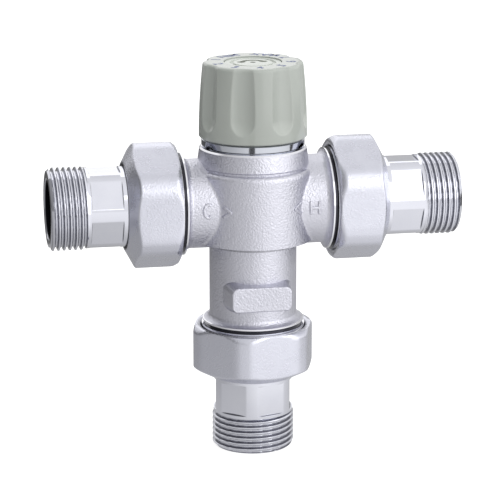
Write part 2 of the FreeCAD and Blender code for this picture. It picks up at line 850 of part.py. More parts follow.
def scallop_cutter():
    """Round-ended cutter for one finger scallop, leaning with the knob's taper."""
    foot_floor = knob_side(scallop_foot_rise) - scallop_depth_foot
    top_floor = knob_top_d / 2 - scallop_depth_top
    chord = foot_floor + scallop_depth_foot / 2
    half_width = math.sqrt(scallop_cutter_r ** 2 - (scallop_cutter_r - (chord - foot_floor)) ** 2)
    start = Vector(foot_floor + scallop_cutter_r, 0, scallop_foot_rise + half_width)
    end = Vector(top_floor + scallop_cutter_r, 0, knob_top_rise)
    reach = (end - start).Length + scallop_cutter_r
    slant = scallop_cutter_r * math.sqrt(0.5)
    cutter = turned([
        (0, -scallop_cutter_r),
        ((slant, -slant), (scallop_cutter_r, 0)),
        (scallop_cutter_r, reach),
        (0, reach),
    ])
    cutter.Placement = FreeCAD.Placement(start, Rotation(Vector(0, 0, 1), end - start))
    return cutter


def control_knob():
    """Moulded knob: scalloped skirt, square hub on ribs, recess for the cap."""
    foot_r = knob_foot_d / 2
    top_r = knob_top_d / 2
    edge = knob_edge_r
    edge_inset = ROUND_INSET * edge
    middle_rise = (knob_foot_rise + knob_top_rise - edge) / 2
    outer = turned([
        (0, knob_foot_rise),
        (foot_r - knob_lip_chamfer, knob_foot_rise),
        (foot_r, knob_foot_rise + knob_lip_chamfer),
        ((knob_side(middle_rise) + knob_bulge, middle_rise), (top_r, knob_top_rise - edge)),
        ((top_r - edge_inset, knob_top_rise - edge_inset), (top_r - edge, knob_top_rise)),
        (0, knob_top_rise),
    ])
    cutters = fanned(scallop_cutter(), scallops, scallop_first - 90)
    outer = outer.cut(cutters)
    cavity_top = knob_top_rise - knob_roof
    cavity = rod(knob_cavity_d, knob_foot_rise, cavity_top)
    hub_foot_rise = neck_top_rise + circlip_thickness + moving_gap
    rib_foot = cavity_top - knob_rib_height
    kept = [rod(knob_hub_d, hub_foot_rise, cavity_top)]
    rib = bar(0, knob_cavity_d / 2, knob_rib_thickness, rib_foot, cavity_top)
    kept += fanned(rib, knob_ribs, scallop_first)
    recess_floor = knob_top_rise - cap_recess_depth
    socket = prism(spindle_square + 2 * insert_clearance, 4, hub_foot_rise, square_top_rise, 45)
    shaft_hole = rod(screw_d + 4 * insert_clearance, square_top_rise, screw_head_rise)
    pocket = rod(screw_pocket_d, screw_head_rise, recess_floor)
    recess = rod(cap_d + 2 * cap_fit, recess_floor, knob_top_rise)
    shape = outer.cut(cavity.cut(kept))
    return shape.cut([socket, shaft_hole, pocket, recess]).removeSplitter()


def knob_cap():
    """Round cap over the knob's screw."""
    floor = knob_top_rise - cap_recess_depth
    disc = rod(cap_d, floor, floor + cap_thickness)
    stub = ring(cap_stub_d - 2 * cap_stub_wall, cap_stub_d, floor - cap_stub_length, floor)
    return disc.fuse(stub).removeSplitter()


def knob_screw():
    """Socket screw that holds the knob on the spindle."""
    top = screw_head_rise + screw_head_height
    shape = turned([
        (0, screw_head_rise - screw_length),
        (screw_d / 2, screw_head_rise - screw_length),
        (screw_d / 2, screw_head_rise),
        (screw_head_d / 2, screw_head_rise),
        (screw_head_d / 2, top - screw_head_chamfer),
        (screw_head_d / 2 - screw_head_chamfer, top),
        (0, top),
    ])
    return shape.cut(prism(screw_socket_across, 6, top - screw_socket_depth, top))


# ================================================================ assembly
def central_pieces():
    """Nodes on the valve axis."""
    lower_ring, upper_ring = [spindle_o_ring(rise) for rise in spindle_ring_rises]
    return {
        "valve_body": valve_body(),
        "seat_ring": seat_ring(),
        "return_spring": return_spring(),
        "shutter": shutter(),
        "shutter_o_ring": shutter_o_ring(),
        "wax_element": wax_element(),
        "element_piston": element_piston(),
        "push_cup": push_cup(),
        "cup_retaining_ring": retaining_ring(),
        "overtravel_spring": overtravel_spring(),
        "regulating_nut": regulating_nut(),
        "bonnet": bonnet(),
        "bonnet_o_ring": bonnet_o_ring(),
        "adjusting_spindle": spindle(),
        "spindle_o_ring_lower": lower_ring,
        "spindle_o_ring_upper": upper_ring,
        "spindle_circlip": circlip(),
        "control_knob": control_knob(),
        "knob_cap": knob_cap(),
        "knob_screw": knob_screw(),
    }


def port_pieces(port):
    """Nodes of one connection, and of the inlet behind it."""
    pieces = {
        "gasket": ring(gasket_inner_d, gasket_outer_d, 0, gasket_thickness),
        "tailpiece": tailpiece(port.tail_turn),
        "union_nut": union_nut(port.nut_turn),
    }
    if port in INLETS:
        pieces["strainer"] = strainer()
        pieces["check_housing"] = cartridge_shell()
        pieces["check_o_ring"] = cartridge_o_ring()
        pieces["check_poppet"] = poppet()
        pieces["check_spring"] = check_spring()
    return {port.name + "_" + name: at_port(shape, port) for name, shape in pieces.items()}


def main():
    """Write one STEP file per node."""
    os.makedirs("parts", exist_ok=True)
    nodes = central_pieces()
    for port in PORTS:
        nodes.update(port_pieces(port))
    for name, shape in nodes.items():
        lifted = shape.copy()
        lifted.translate(Vector(0, 0, outlet_reach))
        lifted.exportStep("parts/" + name + ".step")


main()
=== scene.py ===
"""Looks of a three-way mixing valve: forged body, three unions with threaded tails, grey knob.

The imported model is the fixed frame. The pieces whose surface needs more than the plain solids
(threads, soft forged edges, finger scallops, raised letters, dial) are surfaces worked out on grids.
All lengths are metres in the frame; sizes of the pieces are written in millimetres and scaled by MM.
"""
import json
import logging
import math
from dataclasses import dataclass
from enum import Enum
from functools import partial
from typing import Any, Callable, Sequence

import bpy
import numpy as np
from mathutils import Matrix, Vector


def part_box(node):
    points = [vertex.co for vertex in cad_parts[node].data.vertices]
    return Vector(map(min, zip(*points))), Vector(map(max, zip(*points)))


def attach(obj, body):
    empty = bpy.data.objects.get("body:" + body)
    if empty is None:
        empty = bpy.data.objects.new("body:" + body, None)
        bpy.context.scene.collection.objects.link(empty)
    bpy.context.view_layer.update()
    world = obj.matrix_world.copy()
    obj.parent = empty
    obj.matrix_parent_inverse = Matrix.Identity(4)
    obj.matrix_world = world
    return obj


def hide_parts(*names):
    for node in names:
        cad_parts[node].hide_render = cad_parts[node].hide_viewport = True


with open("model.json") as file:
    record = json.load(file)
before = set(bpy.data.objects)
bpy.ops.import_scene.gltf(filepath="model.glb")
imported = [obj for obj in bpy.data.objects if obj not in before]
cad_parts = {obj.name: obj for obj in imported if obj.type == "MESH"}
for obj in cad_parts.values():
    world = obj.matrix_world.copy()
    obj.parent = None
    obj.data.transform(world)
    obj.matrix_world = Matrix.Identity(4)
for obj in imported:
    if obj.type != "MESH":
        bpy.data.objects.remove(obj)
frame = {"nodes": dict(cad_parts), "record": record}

Grid = np.ndarray
Piece = bpy.types.Object
Tree = bpy.types.NodeTree
Node = bpy.types.Node
Socket = bpy.types.NodeSocket
MM = 0.001
HEXAGON = 6             # sides of a nut, and flats of a tail
THREAD_FLAT = 1 / 6     # width of a thread's crest, and of its root, as a share of the pitch
NOISE = (0.2, 0.8)      # range that holds nearly all of a noise texture's values
STROKE_ROWS = 40        # points along a raised stroke
STROKE_COLUMNS = 20     # points round it
STROKE_POWER = 0.6      # shape of its section: 1 is an ellipse, less is squarer
LOG = logging.getLogger("mixing_valve")


# ============================================================================ frame
def box(node: str) -> tuple[np.ndarray, np.ndarray]:
    """Lowest and highest corner of a solid, as arrays in metres.

    Args:
        node: The solid's name.
    Returns:
        The two corners.
    """
    low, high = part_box(node)
    return np.array(low, float), np.array(high, float)


def mount(name: str) -> dict[str, Any]:
    """The record's entry for a mount.

    Args:
        name: The mount's name.
    Returns:
        Its kind, place, axis and sizes.
    """
    return next(m for m in frame["record"]["mounts"] if m["name"] == name)


@dataclass(frozen=True)
class Port:
    """One connection: +z of its own frame runs outwards, with z = 0 on the body's port face.

    Attributes:
        name: Prefix of its solids.
        mount_name: Its pipe thread in the record.
        hex_turn: Angle of one corner of the union nut, in degrees.
        flats_turn: Angle of one corner between the tail's flats, in degrees.
    """
    name: str
    mount_name: str
    hex_turn: float
    flats_turn: float

    @property
    def direction(self) -> np.ndarray:
        """Unit vector out of the port."""
        return np.array(mount(self.mount_name)["axis"], float)

    @property
    def face(self) -> np.ndarray:
        """Centre of the body's port face, which the gasket lies on."""
        low, high = box(f"{self.name}_gasket")
        middle = (low + high) / 2
        thickness = float(np.abs(self.direction) @ (high - low))
        return middle - self.direction * thickness / 2

    def place(self, points: Grid) -> Grid:
        """Points of the port's own frame, moved to the valve's frame.

        The turn is the shortest one from +Z to the port's direction; straight down it is half a
        turn about X.

        Args:
            points: Array of shape (..., 3).
        Returns:
            Array of the same shape.
        """
        x, y, z = np.moveaxis(points, -1, 0)
        side = self.direction[0]
        if abs(side) > 0.5:
            turned = np.stack([side * z, y, -side * x], -1)
        else:
            turned = np.stack([x, -y, -z], -1)
        return turned + self.face

    def span(self, solid: str) -> tuple[float, float]:
        """Inner and outer end of one of the port's solids, in mm out of the port face.

        Args:
            solid: The solid's name without the port's prefix.
        Returns:
            The two distances along the port's direction.
        """
        corners = np.stack(box(f"{self.name}_{solid}"))
        along = (corners - self.face) @ self.direction / MM
        return float(along.min()), float(along.max())


# Height of the inlets' axis
AXIS_Z = float(mount("cold_inlet")["pos_m"][2])

PORTS = (
    Port("cold", "cold_inlet", 0.0, 30.0),
    Port("hot", "hot_inlet", 0.0, 30.0),
    Port("outlet", "mixed_outlet", -12.0, -18.0),
)


# ============================================================================ numbers and grids
def smooth_min(a: Grid, b: Grid, width: float) -> Grid:
    """Smaller of two fields, with the crease between them rounded.

    Within width of equality the smaller value is lowered by (width - |a - b|)^2 / (4 width).

    Args:
        a: First field.
        b: Second field.
        width: Distance over which the crease is rounded.
    Returns:
        The rounded minimum.
    """
    near = np.maximum(width - np.abs(a - b), 0.0)
    return np.minimum(a, b) - near * near / (4.0 * width)


def smooth_max(a: Grid, b: Grid, width: float) -> Grid:
    """Larger of two fields, with the crease between them filled in as smooth_min does."""
    return -smooth_min(-a, -b, width)


def polygon_radius(angle: Grid, across_flats: float, sides: int, turn: float, soft: float) -> Grid:
    """Distance from the axis to a regular polygon's side, corners rounded.

    A side at angle s lies at r = half the width across flats over cos(angle - s); the nearest two
    sides are joined by the rounded minimum.

    Args:
        angle: Angles about the axis, in radians.
        across_flats: Width between opposite sides.
        sides: Number of sides.
        turn: Angle of one corner, in degrees.
        soft: Width of the rounding.
    Returns:
        Radii of the same shape as angle.
    """
    step = 2 * math.pi / sides
    offset = (angle - math.radians(turn)) % step - step / 2
    near = across_flats / 2 / np.cos(offset)
    beside = across_flats / 2 / np.cos(step - np.abs(offset))
    return smooth_min(near, beside, soft)


def thread_radius(angle: Grid, z: Grid, pitch: float, crest_r: float, depth: float) -> Grid:
    """Radius of a right-hand pipe thread.

    The phase runs once round with the angle and once along each pitch. A triangle wave of it is
    clipped, which leaves crest and root a sixth of the pitch wide, and the share f that is left
    is eased to f^2 (3 - 2 f).

    Args:
        angle: Angles about the axis, in radians.
        z: Distances along the axis, in mm.
        pitch: Distance between crests, in mm.
        crest_r: Radius over the crests, in mm.
        depth: Height of the thread, in mm.
    Returns:
        Radii in mm.
    """
    phase = (z / pitch - angle / (2 * math.pi)) % 1.0
    triangle = 1.0 - np.abs(2.0 * phase - 1.0)
    flank = np.clip((triangle - THREAD_FLAT) / (1 - 2 * THREAD_FLAT), 0.0, 1.0)
    return crest_r - depth * (1.0 - flank * flank * (3.0 - 2.0 * flank))


def wheel(columns: int) -> Grid:
    """Evenly spaced angles of one whole turn, in radians."""
    return np.arange(columns) * (2 * math.pi / columns)


def cylinder_grid(radius: Grid, z: Grid, angle: Grid) -> Grid:
    """Points from radii and heights about Z.

    Args:
        radius: Radii, rows by columns.
        z: Heights, one a row, or rows by columns.
        angle: One angle a column, in radians.
    Returns:
        Array of rows by columns by 3.
    """
    z = z[:, None] if z.ndim == 1 else z
    flat = np.broadcast_to(z, radius.shape)
    return np.stack([radius * np.cos(angle), radius * np.sin(angle), flat], -1)


def spread(corners: Sequence[tuple[float, float]], step: float) -> Grid:
    """Points along a broken line, no further apart than a step, corners kept.

    Args:
        corners: (radius, height) pairs.
        step: Largest distance between two points.
    Returns:
        Array of points by 2.
    """
    line = np.array(corners, float)
    runs = []
    for start, end in zip(line[:-1], line[1:]):
        count = max(1, math.ceil(float(np.linalg.norm(end - start)) / step))
        runs.append(start + (end - start) * (np.arange(count) / count)[:, None])
    runs.append(line[-1:])
    return np.concatenate(runs)


def mesh_piece(name: str, points: Grid, faces: Grid, sharp: float = 35.0) -> Piece:
    """A mesh object from points and faces of four corners, smooth but for its sharp edges.

    Args:
        name: The piece's name.
        points: Array of points by 3, in metres.
        faces: Array of faces by 4.
        sharp: Edges that turn by more than this many degrees stay sharp.
    Returns:
        The object, linked to the scene.
    """
    mesh = bpy.data.meshes.new(name)
    mesh.vertices.add(len(points))
    mesh.vertices.foreach_set("co", points.astype(np.float32).ravel())
    mesh.loops.add(faces.size)
    mesh.loops.foreach_set("vertex_index", faces.astype(np.int32).ravel())
    mesh.polygons.add(len(faces))
    mesh.polygons.foreach_set("loop_start", np.arange(len(faces), dtype=np.int32) * 4)
    mesh.update(calc_edges=True)
    mesh.validate()
    mesh.shade_smooth()
    mesh.set_sharp_from_angle(angle=math.radians(sharp))
    piece = bpy.data.objects.new(name, mesh)
    bpy.context.scene.collection.objects.link(piece)
    return piece


def grid_faces(rows: int, columns: int, wrap_rows: bool) -> Grid:
    """Corner numbers of the cells of a grid whose columns close on themselves.

    Args:
        rows: Number of rows.
        columns: Number of columns.
        wrap_rows: Whether the last row joins the first.
    Returns:
        Array of cells by 4.
    """
    row = np.arange(rows if wrap_rows else rows - 1)[:, None]
    column = np.arange(columns)[None, :]
    ahead = (row + 1) % rows
    beside = (column + 1) % columns
    corners = (row * columns + column, row * columns + beside,
               ahead * columns + beside, ahead * columns + column)
    return np.stack(corners, -1).reshape(-1, 4)


def tube_piece(name: str, grid: Grid, sharp: float = 35.0) -> Piece:
    """A closed ring-shaped piece: columns run round the axis, rows round its section."""
    rows, columns = grid.shape[:2]
    return mesh_piece(name, grid.reshape(-1, 3), grid_faces(rows, columns, True), sharp)


def shell_piece(name: str, grid: Grid, sharp: float = 35.0) -> Piece:
    """A closed piece whose first and last rows shrink to a point on the axis.

    The end rows are welded into one point each, which leaves triangles there.

    Args:
        name: The piece's name.
        grid: Rows by columns by 3; all points of the first and of the last row coincide.
        sharp: Edges that turn by more than this many degrees stay sharp.
    Returns:
        The object.
    """
    rows, columns = grid.shape[:2]
    faces = grid_faces(rows, columns, False)
    inner = grid[1:-1].reshape(-1, 3)
    points = np.concatenate([grid[:1, 0], inner, grid[-1:, 0]])
    last = len(points) - 1
    return mesh_piece(name, points, np.clip(faces - columns + 1, 0, last), sharp)


def shade_grooves(piece: Piece, groove: Grid) -> None:
    """Keep a grid's share of groove, which is painted shade, as the piece's attribute "groove", one value a
    point.
    """
    piece.data.attributes.new("groove", "FLOAT", "POINT").data.foreach_set(
        "value", groove.astype(np.float32).ravel())


def stroke_piece(name: str, line: Grid, width: float, rise: float,
                 lay: Callable[[Grid, Grid, Grid], Grid]) -> Piece:
    """A raised stroke: a flattened tube that follows a line on a surface.

    The tube's section is a squarish oval across the line, its middle on the surface: cosine and
    sine to a power below 1, each with its sign kept. It shrinks to nothing over the last half width
    at both ends, as sqrt(1 - t^2).

    Args:
        name: The piece's name.
        line: Points of the stroke in the surface's two coordinates, mm.
        width: Width of the stroke, mm.
        rise: Height over the surface, mm.
        lay: Gives points in the frame from the two coordinates and the height over the surface.
    Returns:
        The object.
    """
    steps = np.concatenate([[0.0], np.cumsum(np.linalg.norm(np.diff(line, axis=0), axis=1))])
    fine = np.linspace(0, steps[-1], STROKE_ROWS)
    path = np.stack([np.interp(fine, steps, line[:, 0]), np.interp(fine, steps, line[:, 1])], -1)
    tangent = np.gradient(path, fine, axis=0)
    tangent /= np.linalg.norm(tangent, axis=1, keepdims=True)
    across = np.stack([-tangent[:, 1], tangent[:, 0]], -1)
    near_end = np.clip(np.minimum(fine, fine[-1] - fine) / (width / 2), 0, 1)
    taper = np.sqrt(1 - (1 - near_end) ** 2)[:, None]
    turn = wheel(STROKE_COLUMNS)
    level, upright = np.cos(turn), np.sin(turn)
    sideways = width / 2 * taper * np.sign(level) * np.abs(level) ** STROKE_POWER
    upright = np.sign(upright) * np.abs(upright) ** STROKE_POWER
    grid = lay(path[:, 0, None] + across[:, 0, None] * sideways,
               path[:, 1, None] + across[:, 1, None] * sideways, rise * taper * upright)
    return shell_piece(name, grid, sharp=60.0)


# ============================================================================ materials
class Slot(Enum):
    """Material slots that the record names."""
    BLASTED = "sandblasted_brass"
    CHROMED = "polished_brass"
    TURNED = "turned_brass"
    SPRING = "spring_steel"
    STRAINER = "strainer_steel"
    COPPER = "element_copper"
    RUBBER = "seal_rubber"
    FIBRE = "gasket_fibre"
    INNER = "inner_plastic"
    KNOB = "knob_plastic"
    CAP = "cap_plastic"


def linear(colour: str) -> tuple[float, float, float, float]:
    """Linear RGBA of an sRGB hex colour.

    Args:
        colour: Six hex digits.
    Returns:
        Red, green, blue and an alpha of 1.
    """
    parts = [int(colour[i:i + 2], 16) / 255 for i in (0, 2, 4)]
    values = [p / 12.92 if p <= 0.04045 else ((p + 0.055) / 1.055) ** 2.4 for p in parts]
    return values[0], values[1], values[2], 1.0


# The property that the part of a node's kind after the point sets
MODES = {"Math": "operation", "VectorMath": "operation", "Mix": "data_type", "MapRange": "interpolation_type"}


def connect(tree: Tree, value: Any, target: Socket) -> None:
    """Give an input its value, or link it to a socket or to a node's first output in use.

    Args:
        tree: The node tree.
        value: The value, socket or node.
        target: The input.
    """
    if isinstance(value, Node):
        value = next(socket for socket in value.outputs if socket.enabled)
    if isinstance(value, Socket):
        tree.links.new(value, target)
    else:
        target.default_value = value


def add_node(tree: Tree, kind: str, *inputs: Any, **named: Any) -> Node:
    """Add a shader node with its settings and links.

    Args:
        tree: The material's or world's node tree.
        kind: The node's type without its ShaderNode prefix, and its mode after a point.
        inputs: What the inputs in use get, in their order.
        named: What inputs get by name, with _ for a space, and values of the node's properties.
    Returns:
        The node.
    """
    name, _, mode = kind.partition(".")
    node = tree.nodes.new("ShaderNode" + name)
    if mode:
        setattr(node, MODES[name], mode)
    used = [socket for socket in node.inputs if socket.enabled][:len(inputs)]
    for socket, value in zip(used, inputs, strict=True):
        connect(tree, value, socket)
    for key, value in named.items():
        if hasattr(node, key):
            setattr(node, key, value)
        else:
            connect(tree, value, node.inputs[key.replace("_", " ")])
    return node


def empty_tree(owner: bpy.types.Material | bpy.types.World) -> Tree:
    """The node tree of a material or world, emptied."""
    owner.use_nodes = True
    owner.node_tree.nodes.clear()
    return owner.node_tree


@dataclass
class Surface:
    """Nodes of a plain finish, which a special one goes on from.

    Attributes:
        tree: The material's node tree.
        place: Object coordinates.
        shader: The principled shader.
        colour: The soft patches' colour.
        rough: Their roughness.
        relief: The grain's bump.
    """
    tree: Tree
    place: Socket
    shader: Node
    colour: Node
    rough: Node
    relief: Node

    def link(self, **sources: Node) -> None:
        """Link the shader's inputs anew, each named with _ for a space."""
        for name, source in sources.items():
            connect(self.tree, source, self.shader.inputs[name.replace("_", " ")])


@dataclass(frozen=True)
class Finish:
    """A surface finish with a large soft colour change and a fine grain in relief.

    Attributes:
        name: The material's name.
        colour: Main colour, sRGB hex.
        tint: Second colour of the soft patches, sRGB hex.
        metallic: 0 or 1.
        roughness: Middle roughness.
        roughness_range: How far the patches move the roughness, each way.
        patch_mm: Size of the soft patches.
        grain_mm: Size of the grain.
        relief_mm: Height of the grain.
        ior: Index of refraction; a metal keeps the default.
    """
    name: str
    colour: str
    tint: str
    metallic: float
    roughness: float
    roughness_range: float
    patch_mm: float
    grain_mm: float
    relief_mm: float
    ior: float = 1.5

    def material(self) -> bpy.types.Material:
        """The finish's material, made once."""
        made = bpy.data.materials.get(self.name)
        if made:
            return made
        made = bpy.data.materials.new(self.name)
        tree = empty_tree(made)
        add = partial(add_node, tree)
        place = add("TexCoord").outputs["Object"]
        patch = add("TexNoise", Scale=1 / (self.patch_mm * MM), Detail=2.0, Vector=place)
        grain = add("TexNoise", Scale=1 / (self.grain_mm * MM), Detail=3.0, Vector=place)
        colour = add("Mix.RGBA", patch, linear(self.colour), linear(self.tint))
        rough = add("MapRange.SMOOTHSTEP", Value=patch, From_Min=NOISE[0], From_Max=NOISE[1],
                    To_Min=self.roughness - self.roughness_range,
                    To_Max=self.roughness + self.roughness_range)
        relief = add("Bump", Strength=1.0, Distance=self.relief_mm * MM, Height=grain)
        shader = add("BsdfPrincipled", Metallic=self.metallic, IOR=self.ior, Base_Color=colour,
                     Roughness=rough, Normal=relief)
        add("OutputMaterial", Surface=shader)
        self.adapt(Surface(tree, place, shader, colour, rough, relief))
        return made

    def adapt(self, base: Surface) -> None:
        """Add what only this finish has; a plain finish has nothing more."""


@dataclass(frozen=True)
class ForgedChrome(Finish):
    """Sandblasted and chromed forging whose rim and port ends are turned and polished.

    Attributes:
        top_z: Height of the body's top.
        port_x: Distance of an inlet's face from the valve axis.
        outlet_z: Height of the outlet's face.
        rim: Height of the turned rim below the top.
        port_length: How far back from its face a port is turned.
        thread_length: Length of a port's union thread, up to its face.
        thread_end: How far the drawn thread stops short of either end of that.
        thread_r: Radius over the thread.
        thread_depth: Depth that tells the thread from the port's bore.
        pitch: The thread's pitch.
        thread_relief: Height of its drawn relief: less than the real one, as only the shading turns.
        root_share: Darkness of the painted shade in its roots.
        undercut_back: Middle of the undercut behind the thread, back from the face.
        undercut_width: Width of the undercut.
        foot_shadow_drop: Drop of the painted shadow line under the barrel's foot below the inlets' axis.
        foot_shadow_width: Width of that line.
        foot_shadow_share: Darkness of that line.
        neck_r: Radius that holds the neck, which the line runs round.
        turned_roughness: Roughness of the turned places.
        turned: Colour of the turned places, sRGB hex.
        painted_shade_colour: Colour of the painted shade in undercuts and roots and of the shadow line, sRGB
            hex.
    """
    top_z: float = 1.0
    port_x: float = 1.0
    outlet_z: float = -1.0
    rim: float = 0.52 * MM
    port_length: float = 10.95 * MM
    thread_length: float = 9.3 * MM
    thread_end: float = 0.6 * MM
    thread_r: float = 16.6 * MM
    thread_depth: float = 0.7 * MM
    pitch: float = 2.309 * MM
    thread_relief: float = 0.5 * MM
    root_share: float = 0.5
    undercut_back: float = 9.85 * MM
    undercut_width: float = 1.1 * MM
    foot_shadow_drop: float = 13.2 * MM
    foot_shadow_width: float = 1.0 * MM
    foot_shadow_share: float = 0.45
    neck_r: float = 14.4 * MM
    turned_roughness: float = 0.12
    turned: str = "E8E8EE"
    painted_shade_colour: str = "3A3A40"

    def thread_height(self, add: Callable[..., Node], axes: Node, inlet: Node) -> tuple[Node, Node]:
        """Height of the union threads: 1 on a crest, 0 in a root.

        The phase of a right-hand thread is distance over pitch less the turn about the port's axis.
        A triangle wave of the phase is eased at both ends.

        Args:
            add: Adds a node to the material.
            axes: Object coordinates taken apart.
            inlet: 1 where an inlet's face is the nearest, 0 where the outlet's is.
        Returns:
            The node with the height, and the node with the distance from the port's axis.
        """
        x, y, z = axes.outputs
        rise = add("Math.SUBTRACT", z, AXIS_Z)
        phases, radii = [], []
        for along, first, second in ((z, x, y), (x, y, rise)):
            turn = add("Math.ARCTAN2", second, first)
            steps = add("Math.MULTIPLY", along, 1 / self.pitch)
            phases.append(add("Math.MULTIPLY_ADD", turn, -1 / (2 * math.pi), steps))
            ring = add("CombineXYZ", first, second)
            radii.append(add("VectorMath.LENGTH", ring))
        phase = add("Mix.FLOAT", inlet, phases[0], phases[1])
        radius = add("Mix.FLOAT", inlet, radii[0], radii[1])
        wave = add("Math.PINGPONG", phase, 0.5)
        height = add("MapRange.SMOOTHSTEP", Value=wave, From_Min=THREAD_FLAT / 2,
                     From_Max=(1 - THREAD_FLAT) / 2)
        return height, radius

    def adapt(self, base: Surface) -> None:
        """Polish the turned places, draw the union threads, and paint shade into undercuts, roots and a line
        under the barrel's foot.

        The way back from the nearest port face, along X or down Z, tells the places on all three
        ports. Steps and bands of it and of height select each place; where two meet, the larger
        share counts.
        """
        add = partial(add_node, base.tree)
        axes = add("SeparateXYZ", base.place)
        x, y, z = axes.outputs
        reach = add("Math.ABSOLUTE", x)
        side = add("Math.SUBTRACT", self.port_x, reach)
        foot = add("Math.SUBTRACT", z, self.outlet_z)
        back = add("Math.MINIMUM", side, foot)
        inlet = add("Math.LESS_THAN", side, foot)

        rim = add("Math.GREATER_THAN", z, self.top_z - self.rim)
        port = add("Math.LESS_THAN", back, self.port_length)
        turned = add("Math.MAXIMUM", rim, port)
        smooth = add("Mix.FLOAT", turned, base.rough, self.turned_roughness)
        grainy = add("Math.SUBTRACT", 1.0, turned)
        bright = add("Mix.RGBA", turned, base.colour, linear(self.turned))

        height, radius = self.thread_height(add, axes, inlet)
        half = self.thread_length / 2
        middle = add("Math.COMPARE", back, half, half - self.thread_end)
        outside = add("Math.GREATER_THAN", radius, self.thread_r - self.thread_depth)
        threaded = add("Math.MULTIPLY", middle, outside)
        # Painted shade in the thread's roots, as dark as root_share at the bottom of a root
        depth = add("MapRange", Value=height, From_Min=1.0, From_Max=0.0, To_Max=self.root_share)
        roots = add("Math.MULTIPLY", depth, threaded)

        # Painted shade in the undercut behind each thread, and a painted shadow line round the neck just
        # under the barrel's foot
        undercut = add("Math.COMPARE", back, self.undercut_back, self.undercut_width / 2)
        band = add("Math.COMPARE", z, AXIS_Z - self.foot_shadow_drop, self.foot_shadow_width / 2)
        flat = add("CombineXYZ", x, y)
        axis = add("VectorMath.LENGTH", flat)
        neck = add("Math.LESS_THAN", axis, self.neck_r)
        soft = add("Math.MULTIPLY", band, self.foot_shadow_share)
        foot_shadow = add("Math.MULTIPLY", soft, neck)
        cuts = add("Math.MAXIMUM", undercut, foot_shadow)
        dark = add("Math.MAXIMUM", cuts, roots)
        shade = add("Mix.RGBA", dark, bright, linear(self.painted_shade_colour))

        thread = add("Bump", Distance=self.thread_relief, Strength=threaded, Height=height,
                     Normal=base.relief)
        connect(base.tree, grainy, base.relief.inputs["Strength"])
        base.link(Base_Color=shade, Roughness=smooth, Normal=thread)


@dataclass(frozen=True)
class GroovedChrome(Finish):
    """Chrome darkened by painted shade from the attribute "groove": 1 in a bore, less on flanks and in
    corners.

    Attributes:
        root: Colour of the painted shade where the groove is 1, sRGB hex.
        root_roughness: Roughness there.
    """
    root: str = "1C1C20"
    root_roughness: float = 0.4

    def adapt(self, base: Surface) -> None:
        """Mix colour towards the root's painted shade, and roughness towards the root's, by the share of
        groove.
        """
        add = partial(add_node, base.tree)
        groove = add("Attribute", attribute_name="groove").outputs["Fac"]
        shade = add("Mix.RGBA", groove, base.colour, linear(self.root))
        dull = add("Mix.FLOAT", groove, base.rough, self.root_roughness)
        base.link(Base_Color=shade, Roughness=dull)


